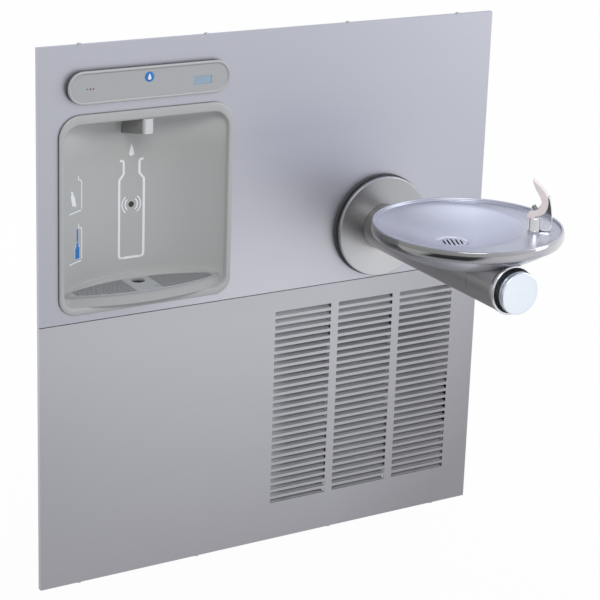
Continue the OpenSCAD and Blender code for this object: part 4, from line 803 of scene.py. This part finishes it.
ARM, PLATE_R = middle_of("escutcheon", "xz")
PLATE_Y = size_of("escutcheon")[0].y
profile = [(44.8, PLATE_Y + 3.4), (46, PLATE_Y + 3.2), (PLATE_R - 9, PLATE_Y + 0.3),
           *arc((PLATE_R - 3, PLATE_Y + 3), 3, -100, 0, 10),
           (PLATE_R, PLATE_Y + PLATE_DEEP), (PLATE_R - 1.5, PLATE_Y + PLATE_DEEP)]
# Painted reflection: a dark sector of painted shade above and left of the arm, and painted light
# on the lower half.
u, v = plate_steel.x - ARM[0] * MM, plate_steel.z - ARM[1] * MM
reach = (u * u + v * v) ** 0.5
painted_dark_sector = ((v - u) * DIAGONAL / reach).most(0) ** 8
painted_pale_half = (v * -PAINTED_PALE / reach).most(0)
level = PLATE_LEVEL + painted_pale_half - painted_dark_sector * PAINTED_DARK
plate_steel.set(Base_Color=plate_steel.between(level, (0, 0, 0), (0.98, 0.98, 1)))
points, faces = turned(profile, ARM)
mesh_piece("escutcheon_plate", points, faces, plate_steel,
           stands_for=("escutcheon",))
print("arm axis", [round(v, 2) for v in ARM], "plate radius", round(PLATE_R, 1))

# %% [markdown]
# The collar and the button at the arm's end are turned and polished. The button's face is
# slightly domed, so that it catches a soft gradient. The button rides on the body that its joint
# moves, and the collar stays with the arm.

# %% The button and its collar
low, high = size_of("push_button")
BUTTON_R, FACE_Y = (high.x - low.x) / 2, low.y
dome = [(0.4, FACE_Y + 0.02), (12, FACE_Y + 0.08), (24, FACE_Y + 0.3), (32, FACE_Y + 0.6),
        (35, FACE_Y + 0.85)]
points, faces = turned([*dome, *arc((BUTTON_R - 2.4, FACE_Y + 3.3), 2.4, -80, 0, 8),
                        (BUTTON_R, FACE_Y + 28), (BUTTON_R - 1.5, FACE_Y + 28),
                        (BUTTON_R - 1.5, FACE_Y + 4)], ARM)
mesh_piece("button_cap", points, faces, cap_chrome, "button", ("push_button",))

low, high = size_of("button_collar")
COLLAR_R, COLLAR_Y = (high.x - low.x) / 2, low.y
points, faces = turned([(COLLAR_R, high.y), (COLLAR_R, COLLAR_Y + 2.4),
                        *arc((COLLAR_R - 2.4, COLLAR_Y + 2.4), 2.4, 0, -180, 12),
                        (COLLAR_R - 4.8, high.y), (COLLAR_R, high.y)], ARM)
mesh_piece("collar_ring", points, faces, chrome, stands_for=("button_collar",))
print("button radius", round(BUTTON_R, 2), "face", round(FACE_Y, 2))

# %% [markdown]
# The alcove is one grey moulding: a frame with rounded edges that stands proud of the panel, and
# a niche whose back is part of an upright cylinder, with its ceiling rounded into the back.

# %% The alcove's measures
low, high = size_of("alcove_liner")
MIDDLE, FRONT_Y, HALF = (low.x + high.x) / 2, low.y, (high.x - low.x) / 2
FRAME_LOW, FRAME_HIGH, BACK_Y = low.z, high.z, 55
SILL, LINTEL, LIP = 12.6, 18.5, 7
SPAN, NICHE_R, CEILING_R = HALF - 10, 257, 30
NICHE_LOW, NICHE_HIGH = FRAME_LOW + SILL, FRAME_HIGH - LINTEL
LONG_SIDE, PARTS = 60, 12


def arch_ring(half, bottom, top, r_low, r_high):
    """Points of an upright rectangle with rounded corners, about the alcove's middle."""
    x_low, z_low, x_high, z_high = half - r_low, bottom + r_low, half - r_high, top - r_high
    corners = [*arc((x_low, z_low), r_low, -90, 0, 10), *arc((x_high, z_high), r_high, 0, 90, 10),
               *arc((-x_high, z_high), r_high, 90, 180, 10),
               *arc((-x_low, z_low), r_low, 180, 270, 10)]
    dense = []
    for p, q in zip(corners, corners[1:] + corners[:1]):
        dense.append(p)
        if math.dist(p, q) > LONG_SIDE:
            dense += [(p[0] + (q[0] - p[0]) * k / PARTS, p[1] + (q[1] - p[1]) * k / PARTS)
                      for k in range(1, PARTS)]
    return [(MIDDLE + x, z) for x, z in dense]


def niche_y(x, z):
    """Depth of the niche's back at a place, with the ceiling's rounding."""
    back = BACK_Y - NICHE_R + math.sqrt(NICHE_R ** 2 - (x - MIDDLE) ** 2)
    r = min(CEILING_R, max(back + 6, 1))
    under = NICHE_HIGH - z
    if under < r:
        back += math.sqrt(max(r * r - (r - under) ** 2, 0)) - r
    return max(back, FRONT_Y + LIP)


print("niche from", round(NICHE_LOW, 1), "to", round(NICHE_HIGH, 1))

# %% [markdown]
# The rings run round the frame from outside to inside, then inward over the niche, and close on an
# upright line in its middle. Shade gathers where the frame meets the panel, so the first band of
# its faces is given painted shade.

# %% The alcove
OUTER_LOW, OUTER_HIGH, INNER_LOW, INNER_HIGH = 32, 42, 22, 32


def edge_band(piece, count):
    """Paints a shadow line on the first band of faces of a piece that stands on the panel."""
    piece.data.materials.append(shadow_edge.material)
    for face in list(piece.data.polygons)[:count]:
        face.material_index = 1


rings = []
for half, y in [(HALF, FRONT_Y + 4.9), (HALF, FRONT_Y + 2), (HALF - 0.7, FRONT_Y + 0.6),
                (HALF - 2, FRONT_Y), (HALF - 7.5, FRONT_Y), (HALF - 9, FRONT_Y + 0.5),
                (SPAN, FRONT_Y + 2)]:
    share = (HALF - half) / (HALF - SPAN)
    ring = arch_ring(half, FRAME_LOW + share * SILL, FRAME_HIGH - share * LINTEL,
                     OUTER_LOW - share * (OUTER_LOW - INNER_LOW),
                     OUTER_HIGH - share * (OUTER_HIGH - INNER_HIGH))
    rings.append([(x, y, z) for x, z in ring])
for inset in (0, 1, 2.5, 5, 8, 12, 17, 23, 30):
    ring = arch_ring(SPAN - inset, NICHE_LOW + inset, NICHE_HIGH - inset,
                     max(INNER_LOW - inset, 2), max(INNER_HIGH - inset, 2))
    rings.append([(x, niche_y(x, z), z) for x, z in ring])
mouth = arch_ring(SPAN, NICHE_LOW, NICHE_HIGH, INNER_LOW, INNER_HIGH)
spine = [(MIDDLE, min(max(z, NICHE_LOW + SPAN), NICHE_HIGH - SPAN)) for x, z in mouth]
last = [(x, z) for x, y, z in rings[-1]]
for share in (0.12, 0.25, 0.4, 0.55, 0.7, 0.85, 1.0):
    rings.append([(x, niche_y(x, z), z) for x, z in slide(last, spine, share)])
points, faces = ring_skin(rings)
alcove = mesh_piece("alcove_shell", points, faces, grey_plastic,
                    stands_for=("alcove_liner",))
edge_band(alcove, len(rings[0]))
print("alcove rings:", len(rings), "points a ring:", len(rings[0]))

# %% [markdown]
# White marks are printed on the niche's back, where a bottle is held. A picture could be laid on
# as a texture, but thin skins that follow the curved back, a little in front of it, stay sharp
# and need no image. A ribbon is a line of even width, and a patch is a filled outline.

# %% Printing on the niche
PRINT_Y, STEP = 0.35, 4


def on_back(x, z):
    """A place on the niche's back, in front of it by the print's thickness."""
    return (x, niche_y(x, z) - PRINT_Y, z)


def ribbon(name, path, width, finish, closed=False):
    """A printed line of even width along a path of (x, z), given about the niche's middle."""
    path = [(MIDDLE + x, z) for x, z in path]
    dense = []
    ends = path + path[:1] if closed else path
    for p, q in zip(ends, ends[1:]):
        parts = max(1, int(math.dist(p, q) / STEP))
        dense += [(p[0] + (q[0] - p[0]) * k / parts, p[1] + (q[1] - p[1]) * k / parts)
                  for k in range(parts)]
    if not closed:
        dense.append(path[-1])
    count, points = len(dense), []
    for i, p in enumerate(dense):
        a = dense[i - 1] if i or closed else p
        b = dense[(i + 1) % count] if i < count - 1 or closed else p
        run = math.dist(a, b) or 1
        nx, nz = -(b[1] - a[1]) / run * width / 2, (b[0] - a[0]) / run * width / 2
        points += [on_back(p[0] + nx, p[1] + nz), on_back(p[0] - nx, p[1] - nz)]
    spans = count if closed else count - 1
    faces = [(2 * i, 2 * i + 1, (2 * i + 3) % (2 * count), (2 * i + 2) % (2 * count))
             for i in range(spans)]
    mesh_piece(name, points, faces, finish)


def patch(name, outline, finish):
    """A small printed area, given about the niche's middle."""
    points = [on_back(MIDDLE + x, z) for x, z in outline]
    mesh_piece(name, points, [tuple(range(len(points)))], finish)


print("print stands", PRINT_Y, "mm off the back")

# %% [markdown]
# The large mark is a bottle's outline with a drop above it. One half is drawn, and its mirror
# image is the other. Two arcs stand on either side of the sensor.

# %% The bottle, the drop and the arcs
BOTTLE_LINE, ARC_LINE = 4.6, 2.4

half_side = [(0, 92.5), (19, 92.5), *arc((19, 98.5), 6, -90, 0, 5), (25, 240),
             *arc((17, 240), 8, 0, 60, 4), *arc((21, 255), 5, 240, 180, 3), (16, 274),
             (16.5, 277.5), (19, 279.5), (24, 279.5)]
ribbon("bottle_line_right", half_side, BOTTLE_LINE, print_white)
ribbon("bottle_line_left", [(-x, z) for x, z in half_side], BOTTLE_LINE, print_white)
drop = [*arc((0, 292.5), 5.6, 200, 340, 10), (3.4, 300), (1.4, 306), (0, 311), (-1.4, 306),
        (-3.4, 300)]
patch("drop_mark", drop, print_white)
for side, first in (("right", -52), ("left", 128)):
    for radius in (12.6, 18.9):
        ribbon(f"sensor_arc_{side}_{radius:.0f}", arc((0, 194.6), radius, first, first + 104, 12),
               ARC_LINE, print_white)
print("large marks printed")

# %% [markdown]
# Two small plain pictures stand to the left of them: a bottle that leans as it is set down, and
# one that stands under the stream. Each has a wall behind it and a shelf.

# %% The small pictures
THIN_LINE, LEAN, SKEW = 2.2, -0.35, 0.6
FLASK = [(-6, 0), (6, 0), (6, 20), (3, 25), (3, 31), (-3, 31), (-3, 25), (-6, 20)]

for low_z, tip, full in ((203, 66, False), (108, 72, True)):
    tag, ink = ("filling", print_blue) if full else ("placing", print_white)
    ribbon(f"{tag}_wall", [(-119, low_z + tip), (-119, low_z + tip - 7), (-113, low_z + tip - 9),
                           (-111, low_z + tip - 14), (-111, low_z + 3)], THIN_LINE, print_white)
    ribbon(f"{tag}_shelf", [(-144, low_z), (-112, low_z + 0.5)], THIN_LINE, print_white)
    lean = 0 if full else LEAN
    shift_x, shift_z = (-122, low_z + 6) if full else (-130, low_z + 12)
    shape = [(shift_x + x * math.cos(lean) + z * math.sin(lean) * SKEW,
              shift_z + z * math.cos(lean) + x * math.sin(lean)) for x, z in FLASK]
    patch(f"{tag}_bottle", shape, ink)
    if full:
        ribbon("filling_stream", [(-122, low_z + 62), (-122, low_z + 38)], 3.4, print_blue)
        ribbon("filling_outline", shape, 1.6, print_white, closed=True)
print("small pictures printed")

# %% [markdown]
# The display sits in a long moulded bezel with round ends. Its rim is rolled over like a picture
# frame, so it is drawn as rings of the same long shape, each a little smaller.

# %% The display's bezel
SIGN, SIGN_HALF = middle_of("display_bezel", "xz")
low, high = size_of("display_bezel")
SIGN_R, SIGN_Y = (high.z - low.z) / 2, low.y


def stadium_ring(inset, y):
    """Points of a long shape with round ends, smaller all round by the inset."""
    r, run = SIGN_R - inset, SIGN_HALF - SIGN_R
    ends = [(SIGN[0] + run + x, SIGN[1] + z) for x, z in arc((0, 0), r, -90, 90, 20)]
    ends += [(SIGN[0] - run + x, SIGN[1] + z) for x, z in arc((0, 0), r, 90, 270, 20)]
    return [(x, y, z) for x, z in ends]


roll = [(0, 12.9), (0, 3), (0.5, 1.4), (1.3, 0.5), (2.6, 0), (3.6, 0.2), (4.6, 0.9), (5.3, 1.8),
        (5.5, 2.6), (7.5, 2.9)]
rings = [stadium_ring(inset, SIGN_Y + drop) for inset, drop in roll]
points, faces = ring_skin(rings)
bezel = mesh_piece("bezel_rim", points, faces, grey_plastic,
                   stands_for=("display_bezel",))
# The bezel's edge on the panel gets the same painted shadow line.
edge_band(bezel, len(rings[0]))
print("display at", [round(v, 1) for v in SIGN])

# %% [markdown]
# The badge on the display's face is a plain blue disc with a white drop. Both are thin, and
# stand off the face by less than a millimetre.

# %% The badge
BADGE = (MIDDLE - 2.5, 451)
FACE_FRONT = size_of("display_face")[0].y
DISC_Y, DROP_Y = FACE_FRONT - 0.45, FACE_FRONT - 0.6

points, faces = turned([(0.2, DISC_Y), (8.6, DISC_Y), (9.4, FACE_FRONT)], BADGE, count=48)
mesh_piece("badge_disc", points, faces, print_blue)
mark = [(BADGE[0] + x, DROP_Y, BADGE[1] + z)
        for x, z in [*arc((0, -1.8), 3.6, 200, 340, 10), (2.2, 2.2), (0, 6), (-2.2, 2.2)]]
mesh_piece("badge_drop", mark, [tuple(range(len(mark)))], print_white)
print("badge at", [round(v, 1) for v in BADGE])
